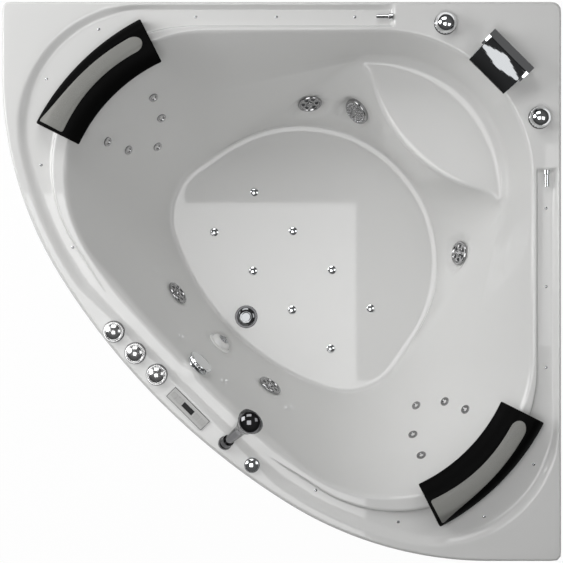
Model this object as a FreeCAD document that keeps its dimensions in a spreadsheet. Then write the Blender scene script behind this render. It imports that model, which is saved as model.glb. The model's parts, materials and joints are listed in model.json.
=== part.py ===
import FreeCAD, Part
import math
import os
import re
import Sketcher

# Corner jetted bath, in millimetres.
# The bath is drawn about its diagonal: u runs to the wall corner, v to the upper left end, z up.
# Every piece is turned by 45 degrees into the room's corner when it is placed.

SIZES = (
    # outer rim
    ("tub_side", 1530), ("rim_height", 620), ("shell_wall", 6), ("rim_lip", 45),
    ("wall_corner_round", 24), ("end_corner_round", 18), ("end_flat", 195),
    ("front_radius", 1950), ("front_half", 440),
    # rim ledge and water channel
    ("ledge_depth", 14), ("wall_strip", 14), ("inner_strip", 15), ("front_strip", 12), ("strip_lobe", 385),
    ("ledge_round", 330), ("ledge_inset", 38), ("ledge_front", 76), ("channel_end", 460),
    # basin opening
    ("wall_ledge", 81), ("front_ledge", 126), ("open_lobe", 390), ("open_bow", 18), ("open_corner", 408),
    # basin floor
    ("floor_height", 170), ("floor_lobe_u", 30), ("floor_lobe_v", 240), ("floor_lobe", 186),
    ("floor_bow", 54), ("floor_corner_u", 83), ("floor_corner", 410),
    # corner seat
    ("seat_height", 420), ("seat_lean", 45), ("seat_nose_u", 518), ("seat_round", 400),
    # shared fits
    ("seat_sink", 0.4), ("seat_gap", 0.3), ("run_fit", 0.05), ("slide_fit", 0.3), ("dome_flat", 0.8),
    # large jets
    ("jet_front_u", -241), ("jet_front_v", 191), ("jet_back_u", 432), ("jet_back_v", 314),
    ("jet_flange", 30), ("jet_flange_thick", 2.5), ("jet_shank", 21), ("jet_shank_depth", 34),
    ("jet_cup", 29), ("jet_cup_depth", 62), ("jet_face", 36), ("jet_face_thick", 3), ("jet_rim_rise", 3.2),
    ("jet_rim_wide", 7), ("jet_hub", 14), ("jet_hub_depth", 18), ("jet_boss", 10), ("jet_boss_rise", 5),
    ("jet_port", 4.6), ("jet_port_pitch", 19.6), ("jet_nozzle", 5.5),
    # small back jets
    ("back_jet_u", 22), ("back_low_v", 533), ("back_mid_v", 576), ("back_mid_side", 66),
    ("back_top_v", 624), ("back_top_side", 90), ("back_ring", 14), ("back_ring_thick", 4),
    ("back_shank", 8), ("back_shank_depth", 26), ("back_bore", 5.5), ("back_cup", 13),
    ("back_cup_depth", 40),
    # floor air injectors
    ("injector_far_u", 132), ("injector_near_u", -38), ("injector_in_v", 83), ("injector_out_v", 248),
    ("injector_cap", 13), ("injector_rise", 5), ("injector_stem", 6), ("air_pipe", 9),
    ("air_pipe_drop", 14),
    ("air_tie", 7.5),
    # suction
    ("suction_u", 515), ("suction_v", 197), ("suction_cover", 41), ("suction_cover_rise", 13),
    ("suction_wall", 3), ("suction_flange", 36), ("suction_flange_thick", 2.5), ("suction_shank", 25),
    ("suction_depth", 52), ("suction_bore", 20), ("suction_slot", 2.6), ("suction_pitch_in", 14),
    ("suction_pitch_mid", 22), ("suction_pitch_out", 30), ("suction_screw", 4),
    # underwater light
    ("light_u", -256), ("light_flange", 38), ("light_flange_thick", 5), ("light_shank", 20),
    ("light_depth", 34), ("light_lens", 22), ("light_lens_rise", 13),
    # overflow and pop-up drain
    ("overflow_u", -329), ("overflow_flange", 33), ("overflow_flange_thick", 3), ("overflow_shank", 19),
    ("overflow_depth", 36), ("overflow_bore", 5), ("overflow_knob", 37.5), ("overflow_knob_thick", 11),
    ("overflow_stand", 9), ("overflow_pipe", 13), ("overflow_level", 146),
    ("drain_u", -150), ("drain_flange", 34), ("drain_flange_thick", 2.5), ("drain_tail", 22),
    ("drain_tail_depth", 52), ("drain_bore", 18.5), ("drain_web", 8), ("drain_plug", 28.5),
    ("drain_plug_edge", 3), ("drain_plug_rise", 6), ("drain_stem", 5), ("drain_stem_depth", 40),
    ("drain_port", 4.5), ("drain_port_pitch", 12), ("trap_cup", 30), ("trap_low", 58), ("waste_pipe", 22),
    ("waste_spigot", 20), ("waste_spigot_long", 60),
    ("waste_bore", 17), ("waste_level", 84), ("waste_end_u", 560),
    # deck controls
    ("tap_u", 815), ("tap_v", 182), ("tap_base", 31), ("tap_base_thick", 4), ("tap_shank", 17),
    ("tap_shank_depth", 56), ("tap_tail", 10.5), ("tap_tail_depth", 84), ("tap_knob", 29.5),
    ("tap_knob_side", 14), ("tap_knob_rise", 22), ("tap_stem", 8), ("tap_stem_depth", 14),
    ("row_u", -421), ("knob_first_v", 227), ("knob_second_v", 144), ("knob_third_v", 61),
    ("knob_base", 30), ("knob_base_thick", 3.5), ("knob_shank", 16), ("knob_shank_depth", 48),
    ("knob_tail", 9), ("knob_tail_depth", 70), ("knob_skirt", 27.5), ("knob_side", 15), ("knob_rise", 9),
    ("knob_stem", 8), ("knob_stem_depth", 14), ("flute", 1.2),
    ("button_u", -412), ("button_v", -298), ("button_ring", 21), ("button_ring_thick", 2.5),
    ("button_sleeve", 15), ("button_depth", 46), ("button_cap", 18.5), ("button_edge", 2.5),
    ("button_rise", 6), ("button_travel", 4), ("button_stem", 11), ("button_stem_depth", 22),
    # control panel
    ("panel_u", -426), ("panel_v", -65), ("panel_long", 130), ("panel_wide", 33), ("panel_rise", 5),
    ("panel_box_long", 116), ("panel_box_wide", 25), ("panel_box_deep", 24), ("display_long", 38),
    ("display_wide", 14), ("display_thick", 2), ("key_long", 16), ("key_wide", 15), ("key_thick", 3.2),
    ("key_proud", 0.9), ("key_well", 3.2), ("key_near_v", 32), ("key_far_v", 52),
    # hand shower
    ("shower_v", -203), ("shower_lean", 36), ("socket_base", 19), ("socket_base_thick", 4),
    ("socket_tube", 16),
    ("socket_ball", 17.5), ("socket_tube_long", 26), ("socket_tail", 9), ("socket_tail_depth", 44),
    ("handle_foot", 12), ("handle_sink", 24), ("handle_long", 112), ("handle_top", 16),
    ("head_start", 128), ("head_middle", 172),
    ("head_radius", 36.5), ("head_end", 206), ("spray_offset", 11), ("spray_plate", 29), ("spray_thick", 3),
    ("spray_hole", 1.6), ("spray_pitch", 20), ("spray_pitch_in", 11),
    # waterfall spout
    ("spout_lip_u", 786), ("spout_ridge_u", 868), ("spout_back_u", 890), ("spout_wide", 132),
    ("spout_ridge", 64), ("spout_lip", 26), ("spout_sheet", 5), ("spout_crown", 7), ("spout_throat_u", 856),
    ("spout_base_wide", 150), ("spout_base_thick", 6), ("spout_inlet", 13), ("spout_inlet_depth", 62),
    ("mixing_pipe", 8), ("mixing_drop", 34),
    # channel outlets and rim lights
    ("outlet_tube", 6.5), ("outlet_long", 34), ("outlet_collar", 9), ("outlet_collar_long", 11),
    ("outlet_bore", 4.5), ("rim_light", 4), ("rim_light_rise", 1.6), ("rim_light_pin", 2),
    ("rim_light_deep", 12),
    ("light_run_first", 564), ("light_run_second", 779), ("light_run_third", 1000),
    ("light_turn_first", 69),
    ("light_turn_second", 108), ("light_turn_third", 155), ("light_turn_radius", 296),
    ("light_front_u", -338), ("light_front_v", 471),
    # headrests
    ("rest_u", 33), ("rest_v", 170), ("rest_inner", 509), ("rest_outer", 640), ("rest_half", 18.3),
    ("rest_step", 616), ("rest_back", 24), ("rest_crest", 46), ("rest_front", 16),
    ("inset_inner", 572), ("inset_outer", 618), ("inset_half", 15.8), ("inset_deep", 5),
    # front apron
    ("apron_inset", 10), ("apron_thick", 4), ("apron_foot", 14), ("clip_wide", 40), ("clip_tall", 30),
    ("clip_low_z", 110), ("clip_high_z", 470), ("screw_head", 6), ("screw_head_rise", 2.4),
    ("screw_shank", 2.4), ("screw_long", 9),
    # base frame and feet
    ("tube", 40), ("tube_wall", 3), ("frame_low", 90), ("post_front_u", -384), ("post_front_v", 347),
    ("post_end_u", 60), ("post_end_v", 868), ("post_corner_u", 930), ("bearer_v", 150), ("bearer", 30),
    ("shelf_v", 720), ("shelf_wide", 90), ("shelf_thick", 4), ("shelf_start_u", -105), ("shelf_end_u", 245),
    ("block_long", 60), ("block_near_u", 18), ("block_far_u", 260),
    ("foot_pad", 26), ("foot_pad_thick", 14), ("foot_stud", 8), ("foot_sink", 7), ("foot_stud_top", 132),
    ("foot_nut", 13), ("foot_nut_thick", 11),
    # pump
    ("pump_u", 715), ("pump_axis_z", 238), ("motor_radius", 64), ("motor_start_v", -175),
    ("motor_long", 205),
    ("motor_foot_wide", 120), ("volute_radius", 76), ("volute_long", 72), ("volute_wall", 8),
    ("pump_shaft", 8), ("impeller_radius", 58), ("impeller_thick", 9), ("vane_thick", 5), ("vane_tall", 20),
    ("pump_port", 21), ("pump_port_bore", 17), ("pump_port_long", 26), ("port_lift", 24),
    # pipes
    ("main_level", 255), ("main_offset", 85), ("main_corner", 519), ("main_pipe", 19), ("main_stop", 12),
    ("cup_gap", 2.4),
    ("branch", 12), ("small_branch", 7), ("suction_pipe", 19), ("pipe_bend", 45),
    # blower and control box
    ("blower_u", 132), ("blower_radius", 76), ("blower_tall", 118), ("blower_wall", 4), ("blower_shaft", 6),
    ("fan_radius", 58), ("fan_plate", 4), ("fan_blade", 4), ("fan_tall", 34), ("blower_boss", 16),
    ("blower_boss_tall", 30), ("blower_port_long", 14),
    ("box_long", 210), ("box_wide", 88), ("box_tall", 130), ("box_lid", 6), ("box_gland", 8),
    ("box_gland_long", 16),
)

doc = FreeCAD.newDocument("corner_jetted_bath")
sheet = doc.addObject("Spreadsheet::Sheet", "dims")
for row, (alias, amount) in enumerate(SIZES, start=1):
    sheet.set("A%d" % row, alias)
    sheet.set("B%d" % row, str(amount))
    sheet.setAlias("B%d" % row, alias)
doc.recompute()

ROOT2 = math.sqrt(2.0)
UP = FreeCAD.Vector(0, 0, 1)
TURN = FreeCAD.Placement(FreeCAD.Vector(0, 0, 0), FreeCAD.Rotation(UP, 45))
nodes = {}


def size(alias):
    return float(sheet.get(alias))


def value(expression):
    return float(sheet.evalExpression(expression))


def bound(expression):
    return re.sub(r"[a-z][a-z_0-9]*", lambda word: "dims." + word.group(0), expression)


def at(u, v, z=0.0):
    return FreeCAD.Vector(u, v, z)


def upright(u, v, z, spin=0.0):
    """A placement that stands at (u, v, z) and is spun about its own upright axis."""
    return FreeCAD.Placement(at(u, v, z), FreeCAD.Rotation(UP, spin))


def aimed(point, axis):
    """A placement whose own Z axis runs along axis."""
    return FreeCAD.Placement(point, FreeCAD.Rotation(UP, axis))


def finish(obj, label, placement=None):
    """Names a sub-part and turns it into the corner."""
    obj.Label = label
    obj.Placement = TURN.multiply(placement) if placement else TURN
    nodes[label] = obj
    return obj


def line(start, end):
    return Part.LineSegment(start, end)


def arc(centre, radius, first, last):
    """An arc from angle first to angle last, in degrees, either way round."""
    spots = []
    for angle in (first, (first + last) / 2.0, last):
        turn = math.radians(angle)
        spots.append(centre + at(radius * math.cos(turn), radius * math.sin(turn)))
    return Part.Arc(*spots)


def mirrored(geometry):
    """The same run of lines and arcs on the other side of the diagonal, walked the other way."""
    result = []
    for side in reversed(geometry):
        edge = side.toShape()
        middle = (edge.FirstParameter + edge.LastParameter) / 2.0
        spots = [edge.valueAt(mark) for mark in (edge.LastParameter, middle, edge.FirstParameter)]
        spots = [at(spot.x, -spot.y) for spot in spots]
        result.append(line(spots[0], spots[2]) if isinstance(side, Part.LineSegment) else Part.Arc(*spots))
    return result


def section(name, geometry, height):
    sketch = doc.addObject("Sketcher::SketchObject", name)
    sketch.addGeometry(geometry, False)
    sketch.Placement = upright(0, 0, height)
    return sketch


def raised(name, geometry, height, tall):
    """An outline drawn at one height and carried straight up."""
    block = doc.addObject("Part::Extrusion", name)
    block.Base = section(name + "_outline", geometry, height)
    block.DirMode = "Custom"
    block.Dir = UP
    block.Solid = True
    block.setExpression("LengthFwd", bound(tall))
    return block


def lofted(name, lower, upper):
    skin = doc.addObject("Part::Loft", name)
    skin.Sections = [lower, upper]
    skin.Solid = True
    skin.Ruled = True
    return skin


def cut(name, base, tool):
    result = doc.addObject("Part::Cut", name)
    result.Base = base
    result.Tool = tool
    return result


def fused(name, pieces):
    result = doc.addObject("Part::MultiFuse", name)
    result.Shapes = pieces
    return result


def together(name, pieces):
    result = doc.addObject("Part::Compound", name)
    result.Links = pieces
    return result


def rod(name, radius, height, placement):
    """A round bar that starts at the placement's origin and runs up its own Z."""
    bar = doc.addObject("Part::Cylinder", name)
    bar.setExpression("Radius", bound(radius))
    bar.setExpression("Height", bound(height))
    bar.Placement = placement
    return bar


def slab(name, long, wide, tall, placement):
    """A box centred on its own Z axis, its bottom at the placement's origin."""
    box = doc.addObject("Part::Box", name)
    box.setExpression("Length", bound(long))
    box.setExpression("Width", bound(wide))
    box.setExpression("Height", bound(tall))
    box.Placement = placement.multiply(upright(-value(long) / 2.0, -value(wide) / 2.0, 0))
    return box


def copies(label, *sets):
    """One node of small like pieces; each set is a master and the placements of its copies."""
    group = doc.addObject("Part::Feature", label)
    solids = []
    for master, placements in sets:
        for placement in placements:
            piece = master.Shape.copy()
            piece.Placement = placement
            solids.append(piece)
    group.Shape = Part.makeCompound(solids)
    return finish(group, label)


def draw(sketch, corners):
    """Closes a profile through corners given as expressions: (across, up) or (across, up, bulge).

    A bulge makes the side that arrives at that corner an arc, that high above its chord."""
    spots = [at(value(corner[0]), value(corner[1])) for corner in corners]
    ends = []
    for index, corner in enumerate(corners):
        start, end = spots[index - 1], spots[index]
        side = line(start, end)
        if len(corner) == 3:
            along = end - start
            across = at(-along.y, along.x).normalize()
            side = Part.Arc(start, (start + end) * 0.5 + across * value(corner[2]), end)
        number = sketch.addGeometry(side, False)
        first = 1 if sketch.getPoint(number, 1).distanceToPoint(start) < 1e-6 else 2
        ends.append((number, first, 3 - first))
    for index, (number, first, last) in enumerate(ends):
        following = ends[(index + 1) % len(ends)]
        sketch.addConstraint(Sketcher.Constraint("Coincident", number, last, following[0], following[1]))
    for index, corner in enumerate(corners):
        number, first, last = ends[index]
        for kind, axis, text in (("DistanceX", -2, corner[0]), ("DistanceY", -1, corner[1])):
            if text == "0":
                sketch.addConstraint(Sketcher.Constraint("PointOnObject", number, last, axis))
            else:
                rule = sketch.addConstraint(Sketcher.Constraint(kind, -1, 1, number, last, value(text)))
                sketch.setExpression("Constraints[%d]" % rule, bound(text))
        if len(corner) == 3:
            before = corners[index - 1]
            chord = "((%s)-(%s))^2+((%s)-(%s))^2" % (corner[0], before[0], corner[1], before[1])
            radius = "(%s)/(8*(%s))+(%s)/2" % (chord, corner[2], corner[2])
            rule = sketch.addConstraint(Sketcher.Constraint("Radius", number, abs(value(radius))))
            sketch.setExpression("Constraints[%d]" % rule, "abs(" + bound(radius) + ")")


def new_body(name, plane):
    """An empty body with one sketch on its own origin plane."""
    body = doc.addObject("PartDesign::Body", name)
    sketch = body.newObject("Sketcher::SketchObject", name + "_profile")
    support = [feature for feature in body.Origin.OriginFeatures if feature.Role == plane]
    sketch.AttachmentSupport = [(support[0], "")]
    sketch.MapMode = "FlatFace"
    return body, sketch


def turned(name, corners):
    """A body of revolution about its own Z axis; a dome ends in a small flat on that axis."""
    body, sketch = new_body(name, "XZ_Plane")
    outline = []
    for corner in corners:
        if len(corner) == 3 and corner[0] == "0":
            outline.append(("dome_flat", corner[1], corner[2]))
            corner = corner[:2]
        outline.append(corner)
    draw(sketch, outline)
    turning = body.newObject("PartDesign::Revolution", name + "_turning")
    turning.Profile = sketch
    turning.ReferenceAxis = (sketch, ["V_Axis"])
    turning.Angle = 360
    body.Tip = turning
    return body


def ring_of_holes(body, radius, pitch, count):
    """Round holes right through a body, in a ring about its own Z axis."""
    tag = "%s_%s" % (body.Name, pitch)
    sketch = body.newObject("Sketcher::SketchObject", tag + "_hole")
    support = [feature for feature in body.Origin.OriginFeatures if feature.Role == "XY_Plane"]
    sketch.AttachmentSupport = [(support[0], "")]
    sketch.MapMode = "FlatFace"
    circle = sketch.addGeometry(Part.Circle(at(value(pitch), 0), UP, value(radius)), False)
    rule = sketch.addConstraint(Sketcher.Constraint("Radius", circle, value(radius)))
    sketch.setExpression("Constraints[%d]" % rule, bound(radius))
    rule = sketch.addConstraint(Sketcher.Constraint("DistanceX", -1, 1, circle, 3, value(pitch)))
    sketch.setExpression("Constraints[%d]" % rule, bound(pitch))
    sketch.addConstraint(Sketcher.Constraint("PointOnObject", circle, 3, -1))
    pocket = body.newObject("PartDesign::Pocket", tag + "_pocket")
    pocket.Profile = sketch
    pocket.Type = "ThroughAll"
    pocket.Midplane = True
    pattern = body.newObject("PartDesign::PolarPattern", tag + "_ring")
    pattern.Originals = [pocket]
    axis = [feature for feature in body.Origin.OriginFeatures if feature.Role == "Z_Axis"]
    pattern.Axis = (axis[0], [""])
    pattern.Angle = 360
    pattern.Occurrences = count
    body.Tip = pattern
    return body


def piped(name, spots, radius, bend):
    """A round pipe along straight runs with an arc at each bend."""
    edges = []
    start = spots[0]
    for before, corner, after in zip(spots, spots[1:], spots[2:]):
        back = (before - corner).normalize()
        ahead = (after - corner).normalize()
        half = back.getAngle(ahead) / 2.0
        reach = bend / math.tan(half)
        first, last = corner + back * reach, corner + ahead * reach
        middle = corner + (back + ahead).normalize() * (bend / math.sin(half) - bend)
        edges.append(Part.LineSegment(start, first).toShape())
        edges.append(Part.Arc(first, middle, last).toShape())
        start = last
    edges.append(Part.LineSegment(start, spots[-1]).toShape())
    return swept(name, Part.Wire(edges), radius)


def swept(name, path, radius):
    first = path.Edges[0]
    along = first.tangentAt(first.FirstParameter)
    ring = Part.Wire(Part.Circle(first.valueAt(first.FirstParameter), along, radius).toShape())
    pipe = doc.addObject("Part::Feature", name)
    pipe.Shape = path.makePipeShell([ring], True, False)
    return pipe


def spoke(name, start, end, radius):
    """A round bar from one point to another."""
    bar = doc.addObject("Part::Cylinder", name)
    bar.setExpression("Radius", bound(radius))
    bar.Height = (end - start).Length
    bar.Placement = aimed(start, end - start)
    return bar


# Outer rim outline
half = size("tub_side") / 2.0
end_spot = at(-size("end_flat") / ROOT2, ROOT2 * half - size("end_flat") / ROOT2)
front_angle = math.degrees(math.asin(size("front_half") / size("front_radius")))
side_radius = (end_spot.y - size("front_half")) / (1.0 / ROOT2 - math.sin(math.radians(front_angle)))
side_centre = end_spot + at(side_radius / ROOT2, -side_radius / ROOT2)
front_u = side_centre.x - side_radius * math.cos(math.radians(front_angle))
front_u -= size("front_radius") * (1.0 - math.cos(math.radians(front_angle)))
front_centre = at(front_u + size("front_radius"), 0)


def front_run(inset):
    """The curved front edge from the left end to the right end, moved inward."""
    side = arc(side_centre, side_radius - inset, 135, 180 - front_angle)
    middle = arc(front_centre, size("front_radius") - inset, 180 - front_angle, 180 + front_angle)
    return [side, middle] + mirrored([side])


def rim_outline(inset):
    corner = at(ROOT2 * (half - inset), 0)
    end = at(0, ROOT2 * (half - inset))
    corner_round = max(size("wall_corner_round") - inset, 1.0)
    end_round = max(size("end_corner_round") - inset, 1.0)
    start = corner + at(-corner_round / ROOT2, corner_round / ROOT2)
    near = end + at(end_round / ROOT2, -end_round / ROOT2)
    far = end + at(-end_round / ROOT2, -end_round / ROOT2)
    last = end_spot + at(inset / ROOT2, -inset / ROOT2)
    tip = arc(corner - at(corner_round * ROOT2, 0), corner_round, -45, 45)
    side = [line(start, near), arc(end - at(0, end_round * ROOT2), end_round, 45, 135), line(far, last)]
    return [tip] + side + front_run(inset) + mirrored(side)


# Basin outlines: a corner arc, two straight sides, two round lobes and a bowed front, all tangent
open_front_u = front_u + size("front_ledge")
open_lobe_u = open_front_u + size("open_bow") + size("open_lobe")
wall_line = half - size("wall_ledge")
OPENING = {
    "lobe_u": open_lobe_u, "lobe_v": ROOT2 * (wall_line - size("open_lobe")) - open_lobe_u,
    "lobe": size("open_lobe"), "bow": size("open_bow"),
    "corner_u": ROOT2 * (wall_line - size("open_corner")), "corner": size("open_corner"),
}
FLOOR = {
    "lobe_u": size("floor_lobe_u"), "lobe_v": size("floor_lobe_v"), "lobe": size("floor_lobe"),
    "bow": size("floor_bow"), "corner_u": size("floor_corner_u"), "corner": size("floor_corner"),
}


def between(height):
    """The outline at a height on the straight wall from the floor to the opening."""
    share = (height - size("floor_height")) / (size("rim_height") - size("floor_height"))
    return {key: FLOOR[key] + share * (OPENING[key] - FLOOR[key]) for key in FLOOR}


SEAT = between(size("seat_height"))
SEAT["corner_u"] = OPENING["corner_u"]
SEAT["corner"] = OPENING["corner"] - size("seat_lean")


def basin_angles(form, grow):
    """The angle of the straight side's normal, and the front arc's centre, radius and half angle."""
    apart = at(form["lobe_u"] - form["corner_u"], form["lobe_v"])
    lean = math.acos((form["corner"] - form["lobe"]) / apart.Length)
    side = math.degrees(math.atan2(apart.y, apart.x) - lean)
    lobe, bow = form["lobe"], form["bow"]
    radius = lobe + bow / 2.0 + form["lobe_v"] ** 2 / (2.0 * bow)
    centre = at(form["lobe_u"] - lobe - bow + radius, 0)
    front = math.degrees(math.atan2(form["lobe_v"], centre.x - form["lobe_u"]))
    return side, centre, radius + grow, front


def basin_outline(form, grow=0.0, corner=None):
    """The closed outline, moved outward by grow; corner replaces its one corner arc."""
    side, centre, radius, front = basin_angles(form, grow)
    corner_centre = at(form["corner_u"], 0)
    lobe_centre = at(form["lobe_u"], form["lobe_v"])
    turn = math.radians(side)
    outward = at(math.cos(turn), math.sin(turn))
    straight = line(corner_centre + outward * (form["corner"] + grow),
                    lobe_centre + outward * (form["lobe"] + grow))
    lobe = arc(lobe_centre, form["lobe"] + grow, side, 180 - front)
    middle = arc(centre, radius, 180 - front, 180 + front)
    tip = corner or [arc(corner_centre, form["corner"] + grow, -side, side)]
    return tip + [straight, lobe, middle] + mirrored([straight, lobe])


def seat_tip(grow):
    """Where the seat's rounded front edge meets the corner arc behind it."""
    back, nose = SEAT["corner"] + grow, size("seat_round") - grow
    nose_u = size("seat_nose_u") + size("seat_round")
    apart = nose_u - SEAT["corner_u"]
    along = (back ** 2 - nose ** 2 + apart ** 2) / (2.0 * apart)
    return at(SEAT["corner_u"] + along, math.sqrt(back ** 2 - along ** 2))


def seat_corner(grow):
    """The lower basin's corner at seat height: two short arcs and the seat's front edge between."""
    tip = seat_tip(grow)
    side = basin_angles(SEAT, grow)[0]
    back = at(SEAT["corner_u"], 0)
    tip_angle = math.degrees(math.atan2(tip.y, tip.x - SEAT["corner_u"]))
    nose = at(size("seat_nose_u") + size("seat_round"), 0)
    nose_angle = math.degrees(math.asin(tip.y / (size("seat_round") - grow)))
    short = arc(back, SEAT["corner"] + grow, tip_angle, side)
    edge = arc(nose, size("seat_round") - grow, 180 + nose_angle, 180 - nose_angle)
    return mirrored([short]) + [edge, short]


def floor_corner(grow):
    """The floor's corner arc in three parts, to pair with the seat's corner."""
    side = basin_angles(FLOOR, grow)[0]
    tip = seat_tip(grow)
    tip_angle = math.degrees(math.atan2(tip.y, tip.x - FLOOR["corner_u"]))
    centre, radius = at(FLOOR["corner_u"], 0), FLOOR["corner"] + grow
    marks = (-side, -tip_angle, tip_angle, side)
    return [arc(centre, radius, first, last) for first, last in zip(marks, marks[1:])]


def basin(name, grow):
    """The basin's hollow, or with grow its outer skin."""
    floor_z = size("floor_height") - grow
    seat_z = size("seat_height") - grow
    lower = lofted(name + "_lower",
                   section(name + "_floor", basin_outline(FLOOR, grow, floor_corner(grow)), floor_z),
                   section(name + "_seat_front", basin_outline(SEAT, grow, seat_corner(grow)), seat_z))
    upper = lofted(name + "_upper", section(name + "_seat_back", basin_outline(SEAT, grow), seat_z),
                   section(name + "_opening", basin_outline(OPENING, grow), size("rim_height")))
    return fused(name, [lower, upper])


# The strip between the opening and the ledge grows wide at the lobes, where the headrests stand on it
strip_lobe_u = open_front_u - size("front_strip") + size("open_bow") + size("strip_lobe")
strip_line = wall_line + size("inner_strip")
STRIP = dict(OPENING, lobe=size("strip_lobe"), lobe_u=strip_lobe_u,
             lobe_v=ROOT2 * (strip_line - size("strip_lobe")) - strip_lobe_u)


def ledge_outline(grow):
    """The lowered ledge: a channel along each wall, a round end at each headrest and a front run."""
    edge = half - size("wall_strip") + grow
    round_end = size("ledge_round") + grow
    run = side_radius - size("ledge_inset") + grow
    level = edge - round_end
    # The centre keeps the round end tangent to the wall strip and to the side run
    along = at(1 / ROOT2, 1 / ROOT2)
    across = at(-1 / ROOT2, 1 / ROOT2)
    gap = side_centre.dot(along) - level
    shift = side_centre.dot(across) + math.sqrt((run - round_end) ** 2 - gap ** 2)
    centre = along * level + across * shift
    leave = centre - side_centre
    leave_angle = math.degrees(math.atan2(leave.y, leave.x))
    front = front_u + size("ledge_front") - grow
    stop = math.acos((side_centre.x - front) / run)
    front_stop = side_centre + at(-math.cos(stop), math.sin(stop)) * run
    lobe_centre = at(STRIP["lobe_u"], STRIP["lobe_v"])
    strip_centre, strip_radius, strip_front = basin_angles(STRIP, -grow)[1:]
    lobe_radius = STRIP["lobe"] - grow
    mouth = half - size("channel_end") + grow
    outer_start = along * edge - across * mouth
    inner_start = along * (strip_line - grow) - across * mouth
    one_side = [
        line(outer_start, centre + along * round_end), arc(centre, round_end, 45, leave_angle),
        arc(side_centre, run, leave_angle, 180 - math.degrees(stop)), line(inner_start, outer_start),
        line(lobe_centre + along * lobe_radius, inner_start), arc(lobe_centre, lobe_radius,
                                                                  180 - strip_front, 45)]
    middle = arc(strip_centre, strip_radius, 180 - strip_front, 180 + strip_front)
    return one_side + [line(front_stop, at(front_stop.x, -front_stop.y)), middle] + mirrored(one_side)


# Acrylic shell before its holes
rim_z = size("rim_height")
floor_z = size("floor_height")
wall = size("shell_wall")
hollow = basin("hollow", 0.0)
skin = basin("skin", wall)
deck = raised("deck", rim_outline(0.0), rim_z - wall, "shell_wall")
lip_block = raised("lip_block", rim_outline(0.0), rim_z - size("rim_lip"), "rim_lip - shell_wall")
lip_core = raised("lip_core", rim_outline(wall), rim_z - size("rim_lip") - 1.0, "rim_lip + 1")
lip = cut("lip", lip_block, lip_core)
deep = rim_z - size("ledge_depth")
trough = raised("trough", ledge_outline(wall), deep - wall, "ledge_depth")
ledge = raised("ledge", ledge_outline(0.0), deep, "ledge_depth + 1")
shell_block = fused("shell_block", [deck, lip, skin, trough])
shell_open = cut("shell_open", shell_block, together("hollows", [hollow, ledge]))
doc.recompute()
shell_tools = []


def wall_place(u, v):
    """The placement on the basin wall or floor below (u, v), its Z axis pointing into the bath."""
    inside = hollow.Shape.common(Part.makeLine(at(u, v, 0), at(u, v, rim_z)))
    spot = at(u, v, min(corner.Z for corner in inside.Vertexes))
    touch = Part.Vertex(spot)
    face = min(hollow.Shape.Faces, key=lambda side: side.distToShape(touch)[0])
    outward = face.normalAt(*face.Surface.parameter(spot))
    return aimed(spot + outward * size("seat_sink"), outward * -1.0)


def seat_on_shell(name, placement, flange, shank):
    """Cuts a flat round seat and a clearance hole for a fitting into the shell."""
    shell_tools.append(rod(name + "_seat", flange + " + 1", "30", placement))
    start = placement.multiply(upright(0, 0, -40))
    shell_tools.append(rod(name + "_hole", shank + " + seat_gap", "50", start))


def deck_hole(name, u, v, shank):
    shell_tools.append(rod(name + "_hole", shank + " + seat_gap", "60", upright(u, v, rim_z - 50)))


# Large jets
jet_body = turned("jet_body_master", [
    ("jet_nozzle + 3", "0 - jet_shank_depth"), ("jet_shank", "0 - jet_shank_depth"), ("jet_shank", "0"),
    ("jet_flange", "0"), ("jet_flange", "jet_flange_thick"), ("jet_hub + run_fit", "jet_flange_thick"),
    ("jet_hub + run_fit", "0 - jet_hub_depth - 1"), ("jet_nozzle + 3", "0 - jet_hub_depth - 1")])
jet_spots = {
    "front_left": wall_place(size("jet_front_u"), size("jet_front_v")),
    "front_right": wall_place(size("jet_front_u"), -size("jet_front_v")),
    "back_left": wall_place(size("jet_back_u"), size("jet_back_v")),
    "back_right": wall_place(size("jet_back_u"), -size("jet_back_v")),
}
face_low = "jet_flange_thick + seat_gap"
face_top = face_low + " + jet_face_thick"
for place, spot in jet_spots.items():
    seat_on_shell("jet_" + place, spot, "jet_face", "jet_shank")
    face = turned("jet_face_" + place, [
        ("jet_nozzle", "0 - jet_hub_depth"), ("jet_hub", "0 - jet_hub_depth"), ("jet_hub", face_low),
        ("jet_face", face_low), ("jet_face", face_top), ("jet_face - 2", face_top + " + jet_rim_rise"),
        ("jet_face - jet_rim_wide", face_top + " + jet_rim_rise"),
        ("jet_face - jet_rim_wide - 2", face_top),
        ("jet_boss", face_top), ("jet_boss - 1.5", face_top + " + jet_boss_rise"),
        ("jet_nozzle", face_top + " + jet_boss_rise")])
    ring_of_holes(face, "jet_port", "jet_port_pitch", 6)
    finish(face, "jet_face_" + place, spot)

# Small back jets
back_jet = turned("back_jet_master", [
    ("back_bore", "0 - back_shank_depth"), ("back_shank", "0 - back_shank_depth"), ("back_shank", "0"),
    ("back_ring", "0"), ("back_ring - 1.2", "back_ring_thick"), ("back_bore + 2", "back_ring_thick"),
    ("back_bore", "back_ring_thick - 2")])
back_spots = []
for side in (1, -1):
    pattern = [(0.0, "back_low_v"), (size("back_mid_side"), "back_mid_v"),
               (-size("back_mid_side"), "back_mid_v"),
               (size("back_top_side"), "back_top_v"), (-size("back_top_side"), "back_top_v")]
    for offset, level in pattern:
        back_spots.append(wall_place(size("back_jet_u") + offset, side * size(level)))
for number, spot in enumerate(back_spots):
    seat_on_shell("back_jet_%d" % number, spot, "back_ring", "back_shank")

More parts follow.
